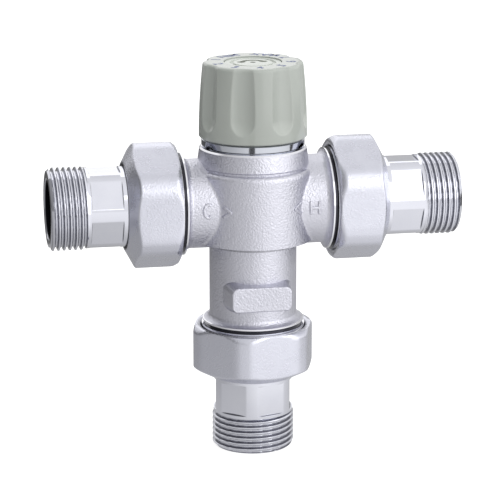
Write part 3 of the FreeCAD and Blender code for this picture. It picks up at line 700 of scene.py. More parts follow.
class Finishes:
    """Every finish of the valve, named for what it is and how it was made."""

    def __init__(self) -> None:
        """Fix the finishes; the body's box lays out its own."""
        low, high = box("valve_body")
        # Glass-bead blasted brass under bright chrome: a soft lilac grey with a fine sparkle. The
        # real dimples, about 0.15 mm wide, are too fine to show and are drawn at 0.62 mm
        self.forging = ForgedChrome("blasted_chrome_forging", "CBCBD5", "D7D7E0", 1.0, 0.37, 0.06,
                                    5.0, 0.62, 0.24, top_z=float(high[2]), port_x=float(high[0]),
                                    outlet_z=float(low[2]))
        # The nuts are blasted finer than the body and shine a little more; also drawn coarser
        # Inside, the nut's bore and the mouth's countersink are darkened by the attribute "groove": painted
        # shade
        self.nut = GroovedChrome("blasted_chrome_nut", "D0D1DC", "DBDCE6", 1.0, 0.28, 0.06, 6.0, 0.55, 0.09)
        # Bright chrome on turned brass: clear reflections, hardly any grain
        # Coloured darker than the tails' chrome as painted shade, for the bonnet ring shaded by the knob
        self.polished = Finish("bright_chrome_turned_shaded", "C9CCD5", "D2D5DC", 1.0, 0.09, 0.02, 5.0, 0.3, 0.002)
        # The same chrome on the tails, darkened to a dull grey by painted shade on the thread's flanks
        # and roots, where a flat runs out, and in the bore
        self.threaded = GroovedChrome("bright_chrome_threaded", "DCDDE7", "E4E5ED", 1.0, 0.09, 0.02,
                                      5.0, 0.3, 0.002)
        # Injection-moulded ABS in warm grey-green, fine spark-eroded grain with a soft sheen
        self.knob = Finish("moulded_abs_knob", "AFB4AE", "B3B8B2", 0.0, 0.14, 0.02, 8.0, 0.4, 0.003, 1.53)
        # The cap is moulded a paler grey than the knob; its colour is lightened a little more as painted
        # light on the knob's top
        self.cap = Finish("moulded_abs_cap", "C4C9C2", "C8CDC6", 0.0, 0.24, 0.03, 6.0, 0.4, 0.003, 1.53)
        # Pad-printed ink, bluish grey on the rim and dark grey on the cap, nearly matt
        self.ink = Finish("pad_printed_ink", "5C668F", "687198", 0.0, 0.5, 0.04, 2.0, 0.3, 0.002)
        self.dark_ink = Finish("pad_printed_dark_ink", "4A5243", "545C4B", 0.0, 0.5, 0.04, 2.0, 0.3, 0.002)
        # Vulcanised nitrile rubber: matt black with a faint bloom
        self.rubber = Finish("moulded_nitrile_rubber", "161616", "222222", 0.0, 0.62, 0.06,
                             2.0, 0.3, 0.01, 1.52)
        # Pressed fibre sheet, green-grey and dull
        self.fibre = Finish("pressed_fibre_gasket", "2E4A40", "3A564B", 0.0, 0.8, 0.05, 1.5, 0.4, 0.03)
        # Drawn and ground spring steel: grey with a narrow sheen along the wire
        self.spring = Finish("drawn_spring_steel", "8F9195", "9DA0A4", 1.0, 0.26, 0.05, 1.5, 0.3, 0.004)
        # Pressed stainless sheet: a darker grey, a little cloudy
        self.stainless = Finish("pressed_stainless_sheet", "8B8C8E", "98999B", 1.0, 0.3, 0.06,
                                2.0, 0.3, 0.006)
        # Turned brass, unplated inside the valve: warm yellow with soft reflections
        self.brass = Finish("turned_brass", "C9A35C", "D2AE69", 1.0, 0.24, 0.05, 3.0, 0.4, 0.004)
        # Drawn copper cup of the wax element: reddish and a little dull
        self.copper = Finish("drawn_copper_cup", "B87850", "C4855C", 1.0, 0.3, 0.06, 3.0, 0.4, 0.004)
        # Injection-moulded acetal, milky and waxy
        self.acetal = Finish("moulded_acetal", "D4D3CC", "DDDCD6", 0.0, 0.4, 0.04, 4.0, 0.5, 0.004, 1.48)


def dress(piece: Piece, finish: Finish) -> None:
    """Give a piece its finish.

    Args:
        piece: A new piece or a solid of the frame.
        finish: Its finish.
    """
    material = finish.material()
    if not piece.data.materials:
        piece.data.materials.append(material)
    for place in range(len(piece.material_slots)):
        piece.material_slots[place].material = material


def add_piece(piece: Piece, body: str, finish: Finish, stands_for: Sequence[str] = ()) -> None:
    """Dress a new piece and tie it to its body.

    Args:
        piece: The piece, in place.
        body: The body it moves with.
        finish: Its finish.
        stands_for: Solids that it replaces.
    """
    dress(piece, finish)
    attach(piece, body)
    if stands_for:
        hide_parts(*stands_for)
    LOG.info("piece %s rides on %s: %d faces", piece.name, body, len(piece.data.polygons))


# ============================================================================ unions
@dataclass
class Tailpiece:
    """Tail with its flange, six milled flats and a cut pipe thread.

    Attributes:
        port: The connection it belongs to.
        pitch: Distance between the thread's crests, mm.
        thread_depth: Height of the thread, mm.
        chamfer: Width of the thread's end chamfer, mm.
        shank_d: Diameter of the plain shank, mm.
        bore_d: Diameter of the bore, mm.
        flats_across: Width between opposite flats, mm.
        nut_gap: Plain shank left between the flats and the nut, mm.
        thread_gap: Plain shank left between the flats and the thread, mm.
        flange_d: Diameter of the flange, mm.
        flange_thickness: Thickness of the flange, mm.
        nut_wall: Thickness of the nut's end wall beyond the flange, mm.
        thread_length: Length of the thread, mm.
        root_shade: Share of painted shade in the thread's roots.
        flank_shade: Share of it half way down the thread's flanks.
        corner_shade: Share of it where a flat runs out.
        edge: Width of the flange's chamfer and of a flat's run-out, mm.
        end_edge: Width of the end face's chamfers, mm.
        corner_soft: Width of the rounding between two flats, mm.
        flat_soft: Width of the rounding between flat and shank, mm.
        cut_soft: Width of the rounding where the end chamfer cuts the thread, mm.
        cut_clean: How deep the end chamfer cuts where it leaves no painted shade, mm.
        corner_deep: Depth of a flat below the shank at which its end has its full painted shade, mm.
        apart: Least distance between two rows, mm.
        pitch_rows: Rows in one pitch of the thread.
        outer_step: Largest distance between rows on the flange and shank, mm.
        inner_step: Largest distance between rows on the end face and in the bore, mm.
        columns: Points round the axis.
    """
    port: Port
    pitch: float = 1.814
    thread_depth: float = 1.16
    chamfer: float = 1.0
    shank_d: float = 25.7
    bore_d: float = 19.0
    flats_across: float = 23.9
    nut_gap: float = 1.4
    thread_gap: float = 0.8
    flange_d: float = 31.6
    flange_thickness: float = 3.0
    nut_wall: float = 2.8
    thread_length: float = 11.8
    root_shade: float = 0.1
    flank_shade: float = 0.5
    corner_shade: float = 0.8
    edge: float = 0.35
    end_edge: float = 0.4
    corner_soft: float = 0.02
    flat_soft: float = 0.03
    cut_soft: float = 0.12
    cut_clean: float = 0.3
    corner_deep: float = 0.5
    apart: float = 0.02
    pitch_rows: int = 22
    outer_step: float = 3.0
    inner_step: float = 4.0
    columns: int = 288

    def grid(self) -> tuple[Grid, Grid]:
        """The tail's closed surface.

        The rows follow the section: flange, shank, flats, thread, end face and bore. On the flats
        the radius is the smaller of the shank's and the hexagon's; on the thread it is the
        thread's, cut by the end chamfer and faded in over the first half pitch. The groove's share,
        which is painted shade, is 4 d (1 - d) on the flanks, with d the depth from crest to root,
        and 1 in the bore.

        Returns:
            Rows by columns by 3, in metres, in the port's frame, and the share of groove there, which is
            painted shade.
        """
        inner, outer = self.port.span("tailpiece")
        flange_top = inner + self.flange_thickness
        shank_top = outer - self.thread_length
        flats_low = flange_top + self.nut_wall + self.nut_gap
        flats_high = shank_top - self.thread_gap
        shank_r = self.shank_d / 2
        thread_r = mount(self.port.mount_name)["dims"]["r_mm"]
        bore_r, flange_r = self.bore_d / 2, self.flange_d / 2
        angle = wheel(self.columns)
        plain = spread([(bore_r, inner), (flange_r - self.edge, inner), (flange_r, inner + self.edge),
                        (flange_r, flange_top), (shank_r, flange_top), (shank_r, flats_low)],
                       self.outer_step)
        plain_r = np.repeat(plain[:, :1], self.columns, 1)
        flats_z = np.array([flats_low, flats_low + self.edge, (flats_low + flats_high) / 2,
                            flats_high - self.edge, flats_high])
        hexagon = polygon_radius(angle, self.flats_across, HEXAGON, self.port.flats_turn, self.corner_soft)
        flat_r = smooth_min(hexagon, np.full_like(hexagon, shank_r), self.flat_soft)
        flats_r = np.repeat(flat_r[None, :], len(flats_z), 0)
        neck = np.array([flats_high, shank_top])
        neck_r = np.full((2, self.columns), shank_r)
        thread_z = np.arange(shank_top, outer, self.pitch / self.pitch_rows)
        thread_z = np.append(thread_z[1:], outer)
        full = thread_radius(angle[None, :], thread_z[:, None], self.pitch, thread_r, self.thread_depth)
        start = np.clip((thread_z - shank_top) / (self.pitch / 2), 0.0, 1.0)[:, None]
        lead = shank_r + (thread_r - shank_r) * start
        end_cone = (thread_r - self.chamfer + (outer - thread_z))[:, None]
        cut = smooth_min(np.minimum(full, lead), end_cone + np.zeros_like(full), self.cut_soft)
        close = spread([(thread_r - self.chamfer - self.end_edge, outer), (bore_r + self.end_edge, outer),
                        (bore_r, outer - self.end_edge), (bore_r, inner + self.apart / 2)],
                       self.inner_step)
        close_r = np.minimum(np.repeat(close[:, :1], self.columns, 1), cut[-1:] - self.apart)
        radius = np.concatenate([plain_r, flats_r, neck_r, cut, close_r])
        z = np.concatenate([plain[:, 1], flats_z, neck, thread_z, close[:, 1]])
        # Painted shade: the thread's flanks and roots, the ends of the flats and the bore darken by the
        # groove's share
        depth = np.clip((thread_r - full) / self.thread_depth, 0.0, 1.0)
        flank = 4.0 * depth * (1.0 - depth) * np.clip(1.0 - (full - cut) / self.cut_clean, 0.0, 1.0)
        ends = np.array([1.0, 0.0, 0.0, 0.0, 1.0])[:, None]
        corner = np.clip((shank_r - flats_r) / self.corner_deep, 0.0, 1.0) * ends
        groove = np.concatenate([np.zeros_like(plain_r), self.corner_shade * corner, np.zeros_like(neck_r),
                                 self.flank_shade * flank + self.root_shade * depth,
                                 np.repeat(close[:, :1] <= bore_r, self.columns, 1)])
        return cylinder_grid(radius * MM, z * MM, angle), groove

    def build(self, finishes: Finishes) -> None:
        """Make the tail and tie it to its body."""
        grid, groove = self.grid()
        piece = tube_piece(f"{self.port.name}_threaded_tail", self.port.place(grid), sharp=30.0)
        shade_grooves(piece, groove)
        add_piece(piece, f"{self.port.name}_tail", finishes.threaded,
                  [f"{self.port.name}_tailpiece"])


@dataclass
class UnionNut:
    """Hexagonal union nut with soft blasted edges and a cone at its outer end.

    Attributes:
        port: The connection it belongs to.
        across_flats: Width between opposite flats, mm.
        corner_d: Diameter that trims the corners, mm.
        cone_height: Height of the outer cone, mm.
        end_face_d: Outer end's flat ring, mm.
        mouth_face_d: Inner end's flat ring, mm.
        mouth_chamfer: Height of the inner end's chamfer, mm.
        end_wall: Thickness of the end wall, mm.
        hole_r: Radius of the hole for the tail, mm.
        bore_r: Radius of the bore over the thread, mm.
        countersink: Width of the mouth's inner chamfer, mm.
        soft: Width of the rounding of all outer edges, mm.
        end_ring: Width of the end's flat ring next to the cone, mm.
        hole_edge: Width of the hole's chamfer, mm.
        mouth_zone: Height with fine rows at the mouth, over the mouth chamfer's.
        cone_zone: Height with fine rows at the cone, over the cone's.
        rows: Rows at the mouth, between, and at the cone.
        inner_step: Largest distance between rows inside, mm.
        columns: Points round the axis.
    """
    port: Port
    across_flats: float = 37.2
    corner_d: float = 40.3
    cone_height: float = 3.2
    end_face_d: float = 28.4
    mouth_face_d: float = 38.0
    mouth_chamfer: float = 1.3
    end_wall: float = 2.8
    hole_r: float = 12.9
    bore_r: float = 16.7
    countersink: float = 0.7
    soft: float = 0.7
    end_ring: float = 0.8
    hole_edge: float = 0.3
    mouth_zone: float = 2.0
    cone_zone: float = 1.3
    rows: tuple[int, int, int] = (14, 8, 24)
    inner_step: float = 4.0
    columns: int = 360

    def grid(self) -> tuple[Grid, Grid]:
        """The nut's closed surface.

        Outside, the radius at a height is the rounded minimum of the hexagon's and of the turned
        outline's: mouth chamfer, corner cylinder and outer cone. Inside it is plain turning.

        Returns:
            Rows by columns by 3, in metres, in the port's frame, and the share of groove there, which is
            painted shade.
        """
        mouth, end = self.port.span("union_nut")
        angle = wheel(self.columns)
        corner_r, face_r, ring_r = self.corner_d / 2, self.mouth_face_d / 2, self.end_face_d / 2
        hexagon = polygon_radius(angle, self.across_flats, HEXAGON, self.port.hex_turn, self.soft)
        marks = (mouth, mouth + self.mouth_zone * self.mouth_chamfer,
                 end - self.cone_zone * self.cone_height, end)
        z = np.unique(np.concatenate([np.linspace(low, high, count)
                                      for low, high, count in zip(marks, marks[1:], self.rows)]))
        chamfer = face_r + (z - mouth) * (corner_r - face_r) / self.mouth_chamfer
        cone = ring_r + (end - z) * (corner_r - ring_r) / self.cone_height
        outline = smooth_min(smooth_min(chamfer, cone, self.soft), np.full_like(z, corner_r), self.soft)
        outside = smooth_min(np.repeat(hexagon[None, :], len(z), 0),
                             np.repeat(outline[:, None], self.columns, 1), self.soft)
        wall = end - self.end_wall
        inside = spread([(ring_r - self.end_ring, end), (self.hole_r + self.hole_edge, end),
                         (self.hole_r, end - self.hole_edge), (self.hole_r, wall), (self.bore_r, wall),
                         (self.bore_r, mouth + self.countersink),
                         (self.bore_r + self.countersink, mouth)], self.inner_step)
        inside_r = np.repeat(inside[:, :1], self.columns, 1)
        radius = np.concatenate([outside, inside_r])
        heights = np.concatenate([z, inside[:, 1]])
        # Painted shade: the bore is fully darkened, fading out over the mouth's countersink; the outside gets
        # none
        groove = np.clip((self.bore_r + self.countersink - radius) / self.countersink, 0.0, 1.0)
        groove[:len(z)] = 0.0
        return cylinder_grid(radius * MM, heights * MM, angle), groove

    def build(self, finishes: Finishes) -> None:
        """Make the nut and tie it to its body."""
        grid, groove = self.grid()
        piece = tube_piece(f"{self.port.name}_hexagon_nut", self.port.place(grid), sharp=50.0)
        shade_grooves(piece, groove)
        add_piece(piece, f"{self.port.name}_nut", finishes.nut,
                  [f"{self.port.name}_union_nut"])


# ============================================================================ knob
@dataclass
class Knob:
    """Moulded knob with eight finger scallops and a recess for its cap.

    Attributes:
        bulge: How far the side stands out of its straight taper at mid height, mm.
        foot_r: Radius at the foot, mm.
        top_r: Radius at the top, mm.
        edge_r: Radius of the top edge, mm.
        lip: Chamfer at the foot, mm.
        cavity_r: Radius of the hollow, mm.
        roof: Thickness of the roof, mm.
        hub_r: Radius of the hub, mm.
        hub_bore_r: Radius of the hub's bore, mm.
        hub_length: Length of the hub below the roof, mm.
        scallops: Number of scallops.
        first: Angle of a scallop from the front towards +X, degrees.
        cutter_r: Radius of a scallop's hollow, mm.
        depth_foot: Depth of a scallop at its foot, mm.
        depth_top: Depth at the top, mm.
        foot_rise: Height of a scallop's foot above the knob's foot, mm.
        recess_r: Radius of the cap's recess, mm.
        recess_depth: Depth of the recess, mm.
        soft: Width of the rounding of the ridges, mm.
        recess_ring: Width of the outermost ring of the recess's floor, mm.
        recess_edge: Width of the chamfer at the recess's mouth, mm.
        hub_roof: Thickness between the recess's floor and the hub's bore, mm.
        run_out: Height over the foot below which the side has its finest rows, mm.
        edge_rows: Rows on the top edge.
        side_rows: Rows on the side above that height, and below it.
        top_step: Largest distance between rows on the top, mm.
        under_step: Largest distance between rows on the underside, mm.
        columns: Points round the axis.
    """
    bulge: float = 0.35
    foot_r: float = 17.25
    top_r: float = 15.9
    edge_r: float = 1.1
    lip: float = 0.4
    cavity_r: float = 14.2
    roof: float = 2.8
    hub_r: float = 6.0
    hub_bore_r: float = 4.4
    hub_length: float = 10.0
    scallops: int = 8
    first: float = -21.5
    cutter_r: float = 8.0
    depth_foot: float = 1.55
    depth_top: float = 0.9
    foot_rise: float = 4.3
    recess_r: float = 9.2
    recess_depth: float = 1.6
    soft: float = 0.18
    recess_ring: float = 0.35
    recess_edge: float = 0.15
    hub_roof: float = 0.6
    run_out: float = 9.0
    edge_rows: int = 7
    side_rows: tuple[int, int] = (50, 44)
    top_step: float = 1.2
    under_step: float = 2.5
    columns: int = 480

    def side(self, z: Grid, low: float, high: float) -> Grid:
        """Radius of the side: the straight taper plus a parabola that is 0 at both ends."""
        share = (z - low) / (high - low)
        return self.foot_r + share * (self.top_r - self.foot_r) + 4 * self.bulge * share * (1 - share)

    def scalloped(self, z: Grid, angle: Grid, low: float, high: float) -> Grid:
        """Radius of the side with its scallops.

        A scallop is cut by an upright bar of radius c, centred a distance d out, with a ball for
        its foot: the cut leaves r = d cos(a) - sqrt(c^2 - d^2 sin^2(a)) at the angle a from its
        middle, and below the ball's centre c^2 is less the squared drop.

        Args:
            z: Heights, rows by 1, mm.
            angle: Angles, 1 by columns, radians.
            low: Height of the knob's foot, mm.
            high: Height of its top, mm.
        Returns:
            Radii, rows by columns, mm.
        """
        plain = self.side(z, low, high) + np.zeros_like(angle)
        foot = low + self.foot_rise
        foot_floor = float(self.side(np.array(foot), low, high)) - self.depth_foot
        half = math.sqrt(self.cutter_r ** 2 - (self.cutter_r - self.depth_foot / 2) ** 2)
        centre_z = foot + half
        lean = (self.top_r - self.depth_top - foot_floor) / (high - centre_z)
        reach = foot_floor + self.cutter_r + lean * np.maximum(z - centre_z, 0.0)
        step = 2 * math.pi / self.scallops
        middle = math.radians(self.first - 90)
        off = (angle - middle + step / 2) % step - step / 2
        drop = np.maximum(centre_z - z, 0.0)
        inside = self.cutter_r ** 2 - drop ** 2 - (reach * np.sin(off)) ** 2
        floor = reach * np.cos(off) - np.sqrt(np.maximum(inside, 0.0))
        floor = np.where(inside > 0, floor, plain + 1.0)
        return smooth_min(plain, floor, self.soft)

    def grid(self) -> Grid:
        """The knob's closed surface, from the recess's centre over the side to the roof's underside.

        Returns:
            Rows by columns by 3, in metres.
        """
        low, high = (corner[2] / MM for corner in box("control_knob"))
        angle = wheel(self.columns)
        recess = high - self.recess_depth
        turn = np.linspace(0, math.pi / 2, self.edge_rows)
        top = spread([(0.0, recess), (self.recess_r - self.recess_ring, recess), (self.recess_r, recess),
                      (self.recess_r, high - self.recess_edge), (self.recess_r + self.recess_edge, high),
                      (self.top_r - self.edge_r, high)], self.top_step)[:-1]
        fine_z = low + self.run_out
        side_z = np.concatenate([np.linspace(high - self.edge_r, fine_z, self.side_rows[0])[1:-1],
                                 np.linspace(fine_z, low + self.lip, self.side_rows[1])])
        rim = self.scalloped(np.array([[high - self.edge_r]]), angle[None, :], low, high)
        edge = rim - self.edge_r * (1 - np.sin(turn))[:, None]
        edge_z = high - self.edge_r * (1 - np.cos(turn))
        body = self.scalloped(side_z[:, None], angle[None, :], low, high)
        roof, hub_top = high - self.roof, recess - self.hub_roof
        hub_foot = roof - self.hub_length
        under = spread([(self.foot_r - self.lip, low), (self.cavity_r, low), (self.cavity_r, roof),
                        (self.hub_r, roof), (self.hub_r, hub_foot), (self.hub_bore_r, hub_foot),
                        (self.hub_bore_r, hub_top), (0.0, hub_top)], self.under_step)
        radius = np.concatenate([np.repeat(top[:, :1], self.columns, 1), edge, body,
                                 np.repeat(under[:, :1], self.columns, 1)])
        z = np.concatenate([top[:, 1], edge_z, side_z, under[:, 1]])
        return cylinder_grid(radius * MM, z * MM, angle)

    def build(self, finishes: Finishes) -> None:
        """Make the knob and tie it to its body."""
        piece = shell_piece("scalloped_knob", self.grid()[::-1], sharp=40.0)
        add_piece(piece, "knob", finishes.knob, ["control_knob"])


@dataclass
class Dial:
    """Cap in the knob's recess, with plain dial figures printed on the rim around it.

    Attributes:
        figures: Texts, in order round the rim.
        first: Angle of the first text from the front towards +X, degrees.
        step: Angle between texts, degrees.
        radius: Radius of the texts' middle, mm.
        height: Height of a figure, mm.
        weight: How far the strokes are thickened, mm.
        ink: Thickness of the print, mm.
        capital: Height of a capital letter over the font's size.
        disc_r: Radius of the cap's raised middle, mm.
        groove: Width of the groove round it, mm.
        groove_depth: Depth of the groove, mm.
        lean: Width of each of the two steps up from the groove, mm.
        edge: Width of the cap's chamfers, mm.
        profile_step: Largest distance between two rows of the cap, mm.
        arc_r: Radius of the turning arrow, mm.
        arc: Angles of its two ends, degrees.
        arc_points: Points of its arc.
        wing: Line of one of its heads, from the arc's end, mm.
        pointer: Half the length of the pointer in the cap's middle, mm.
        mark_stroke: Width of a stroke of these marks, mm.
        columns: Points round the cap.
    """
    figures: tuple[str, ...] = ("MIN", "1", "2", "3", "4", "5", "6", "7", "MAX")
    first: float = -150.0
    step: float = 37.5
    radius: float = 12.2
    height: float = 3.1
    weight: float = 0.1
    ink: float = 0.03
    capital: float = 0.7
    disc_r: float = 6.3
    groove: float = 0.9
    groove_depth: float = 0.4
    lean: float = 0.1
    edge: float = 0.12
    profile_step: float = 1.0
    arc_r: float = 3.6
    arc: tuple[float, float] = (10.0, 170.0)
    arc_points: int = 30
    wing: tuple[tuple[float, float], ...] = ((-1.1, 1.2), (0.0, -0.2), (1.1, 1.2))
    pointer: float = 0.6
    mark_stroke: float = 1.5
    columns: int = 144

    def cap(self, finishes: Finishes) -> None:
        """Make the cap: a disc with a ring groove round its raised middle, turned from a profile."""
        low, high = (corner[2] / MM for corner in box("knob_cap"))
        rim = box("knob_cap")[1][0] / MM
        disc, beyond = self.disc_r, self.disc_r + self.groove
        bed, chamfer = high - self.groove_depth, high - self.edge
        profile = spread([(0.0, high), (disc - self.edge, high), (disc, chamfer), (disc, bed),
                          (beyond, bed), (beyond + self.lean, chamfer), (beyond + 2 * self.lean, high),
                          (rim - self.edge, high), (rim, chamfer), (rim, low), (0.0, low)],
                         self.profile_step)
        radius = np.repeat(profile[:, :1], self.columns, 1)
        grid = cylinder_grid(radius * MM, profile[:, 1] * MM, wheel(self.columns))
        piece = shell_piece("knob_cap_disc", grid[::-1], sharp=40.0)
        add_piece(piece, "knob", finishes.cap, ["knob_cap"])

    def turning_mark(self, finishes: Finishes) -> None:
        """Print a plain two-ended turning arrow on the cap: an arc and a head at either end."""
        top = box("knob_cap")[1][2]

        def lay(x: Grid, y: Grid, out: Grid) -> Grid:
            """Points on the cap's top."""
            return np.stack([x * MM, y * MM, out * MM + top], -1)

        bend = np.radians(np.linspace(*self.arc, self.arc_points))
        arc = self.arc_r * np.stack([np.cos(bend), np.sin(bend)], -1)
        wing = np.array(self.wing)
        lines = {"turning_arc": arc, "turning_head_right": arc[0] + wing, "turning_head_left": arc[-1] + wing,
                 "turning_pointer": np.array([(0.0, -self.pointer), (0.0, self.pointer)])}
        for name, line in lines.items():
            piece = stroke_piece(name, line, self.mark_stroke, self.ink, lay)
            add_piece(piece, "knob", finishes.dark_ink)

    def text(self, name: str, words: str) -> Piece:
        """A flat text as a mesh, centred on the origin and facing up.

        Args:
            name: The piece's name.
            words: What it says.
        Returns:
            The object.
        """
        curve = bpy.data.curves.new(name, "FONT")
        curve.body = words
        curve.size = self.height / self.capital * MM
        curve.align_x = "CENTER"
        curve.align_y = "CENTER"
        curve.extrude = self.ink * MM
        curve.offset = self.weight * MM
        holder = bpy.data.objects.new(name + "_outline", curve)
        bpy.context.scene.collection.objects.link(holder)
        bpy.context.view_layer.update()
        mesh = bpy.data.meshes.new_from_object(holder)
        bpy.data.objects.remove(holder)
        piece = bpy.data.objects.new(name, mesh)
        bpy.context.scene.collection.objects.link(piece)
        return piece

    def build(self, finishes: Finishes) -> None:
        """Make the cap and print the figures on the rim, each read from outside the knob."""
        self.cap(finishes)
        self.turning_mark(finishes)
        top = box("control_knob")[1][2]
        for index, words in enumerate(self.figures):
            angle = math.radians(self.first + index * self.step)
            piece = self.text(f"dial_figure_{index}", words)
            points = np.empty(len(piece.data.vertices) * 3, np.float32)
            piece.data.vertices.foreach_get("co", points)
            x, y, z = points.reshape(-1, 3).T
            along = y - self.radius * MM
            placed = np.stack([x * math.cos(angle) - along * math.sin(angle),
                               x * math.sin(angle) + along * math.cos(angle), z + top], -1)
            piece.data.vertices.foreach_set("co", placed.astype(np.float32).ravel())
            piece.data.update()
            add_piece(piece, "knob", finishes.ink)


# ============================================================================ raised marks on the body
@dataclass
class RaisedMarks:
    """Forged letters and arrowheads on the fronts of the arms.

    Attributes:
        arm_r: Radius of an arm, mm.
        barrel_r: Radius of the barrel at the inlet axis, mm.
        root: Width of the rounding between them, mm.
        stroke: Width of a raised stroke, mm.
        rise: Height of a stroke over the surface, mm.
        least: Least square under a root, which keeps both radii real, mm^2.
        cold_letter: Middle of the C: along X and over the inlets' axis, mm.
        hot_letter: Middle of the H, the same way.
        half_w: Half the width of a letter, mm.
        half_h: Half the height of the C, and of the H, mm.
        opening: Angles between which the C runs, degrees.
        bend_points: Points of the C.
        cold_tip: Tip of the left arrowhead: along X and over the axis, mm.
        hot_tip: Tip of the right one.
        arrow: Length and half the height of an arrowhead, mm.
    """
    arm_r: float = 14.3
    barrel_r: float = 19.3
    root: float = 0.5
    stroke: float = 1.0
    rise: float = 0.5
    least: float = 0.01
    cold_letter: tuple[float, float] = (-16.8, 0.5)
    hot_letter: tuple[float, float] = (17.4, 0.2)
    half_w: float = 1.35
    half_h: tuple[float, float] = (2.1, 2.3)
    opening: tuple[float, float] = (48.0, 312.0)
    bend_points: int = 24
    cold_tip: tuple[float, float] = (-10.2, 0.2)
    hot_tip: tuple[float, float] = (10.7, 0.4)
    arrow: tuple[float, float] = (2.4, 1.9)

    def front(self, x: Grid, z: Grid) -> Grid:
        """Distance of the body's front surface before the valve axis.

        It is the rounded maximum of the arm, sqrt(arm_r^2 - z^2), and the barrel,
        sqrt(barrel_r^2 - x^2).

        Args:
            x: Distances along the inlet axis, mm.
            z: Heights over it, mm.
        Returns:
            Distances towards -Y, mm.
        """
        arm = np.sqrt(np.maximum(self.arm_r ** 2 - z ** 2, self.least))
        barrel = np.sqrt(np.maximum(self.barrel_r ** 2 - x ** 2, self.least))
        return smooth_max(arm, barrel, self.root)

    def lay(self, x: Grid, z: Grid, out: Grid) -> Grid:
        """Points in the valve's frame, in metres, a distance out of the body's front surface."""
        return np.stack([x * MM, -(self.front(x, z) + out) * MM, z * MM + AXIS_Z], -1)

    def head(self, tip: tuple[float, float]) -> Grid:
        """Line of an arrowhead whose tip points at the valve axis."""
        (x, z), (length, half) = tip, self.arrow
        back = x + math.copysign(length, x)
        return np.array([(back, z + half), (x, z), (back, z - half)])

    def build(self, finishes: Finishes) -> None:
        """Make the letters C and H and the two arrowheads that point at the valve axis."""
        bend = np.radians(np.linspace(*self.opening, self.bend_points))
        (cold_x, cold_z), (hot_x, hot_z), (cold_h, hot_h) = self.cold_letter, self.hot_letter, self.half_h
        left, right, low, high = hot_x - self.half_w, hot_x + self.half_w, hot_z - hot_h, hot_z + hot_h
        lines = {
            "raised_c": np.stack([cold_x + self.half_w * np.cos(bend), cold_z + cold_h * np.sin(bend)], -1),
            "raised_h_left": np.array([(left, low), (left, high)]),
            "raised_h_right": np.array([(right, low), (right, high)]),
            "raised_h_bar": np.array([(left, hot_z), (right, hot_z)]),
            "raised_arrow_cold": self.head(self.cold_tip),
            "raised_arrow_hot": self.head(self.hot_tip),
        }
        for name, line in lines.items():
            piece = stroke_piece(name, line, self.stroke, self.rise, self.lay)
            add_piece(piece, "valve", finishes.forging)


# ============================================================================ solids kept as they are
def dress_solids(finishes: Finishes) -> None:
    """Give every solid of the frame its finish, by the slot the record names for it."""
    by_slot = {
        Slot.BLASTED: finishes.forging,
        Slot.CHROMED: finishes.polished,
        Slot.TURNED: finishes.brass,
        Slot.SPRING: finishes.spring,
        Slot.STRAINER: finishes.stainless,
        Slot.COPPER: finishes.copper,
        Slot.RUBBER: finishes.rubber,
        Slot.FIBRE: finishes.fibre,
        Slot.INNER: finishes.acetal,
        Slot.KNOB: finishes.knob,
        Slot.CAP: finishes.cap,
    }
    for part in frame["record"]["subparts"]:
        slot = Slot(part["material_slot"])
        dress(frame["nodes"][part["node"]], by_slot[slot])
        LOG.info("solid %s dressed as %s", part["node"], slot.value)


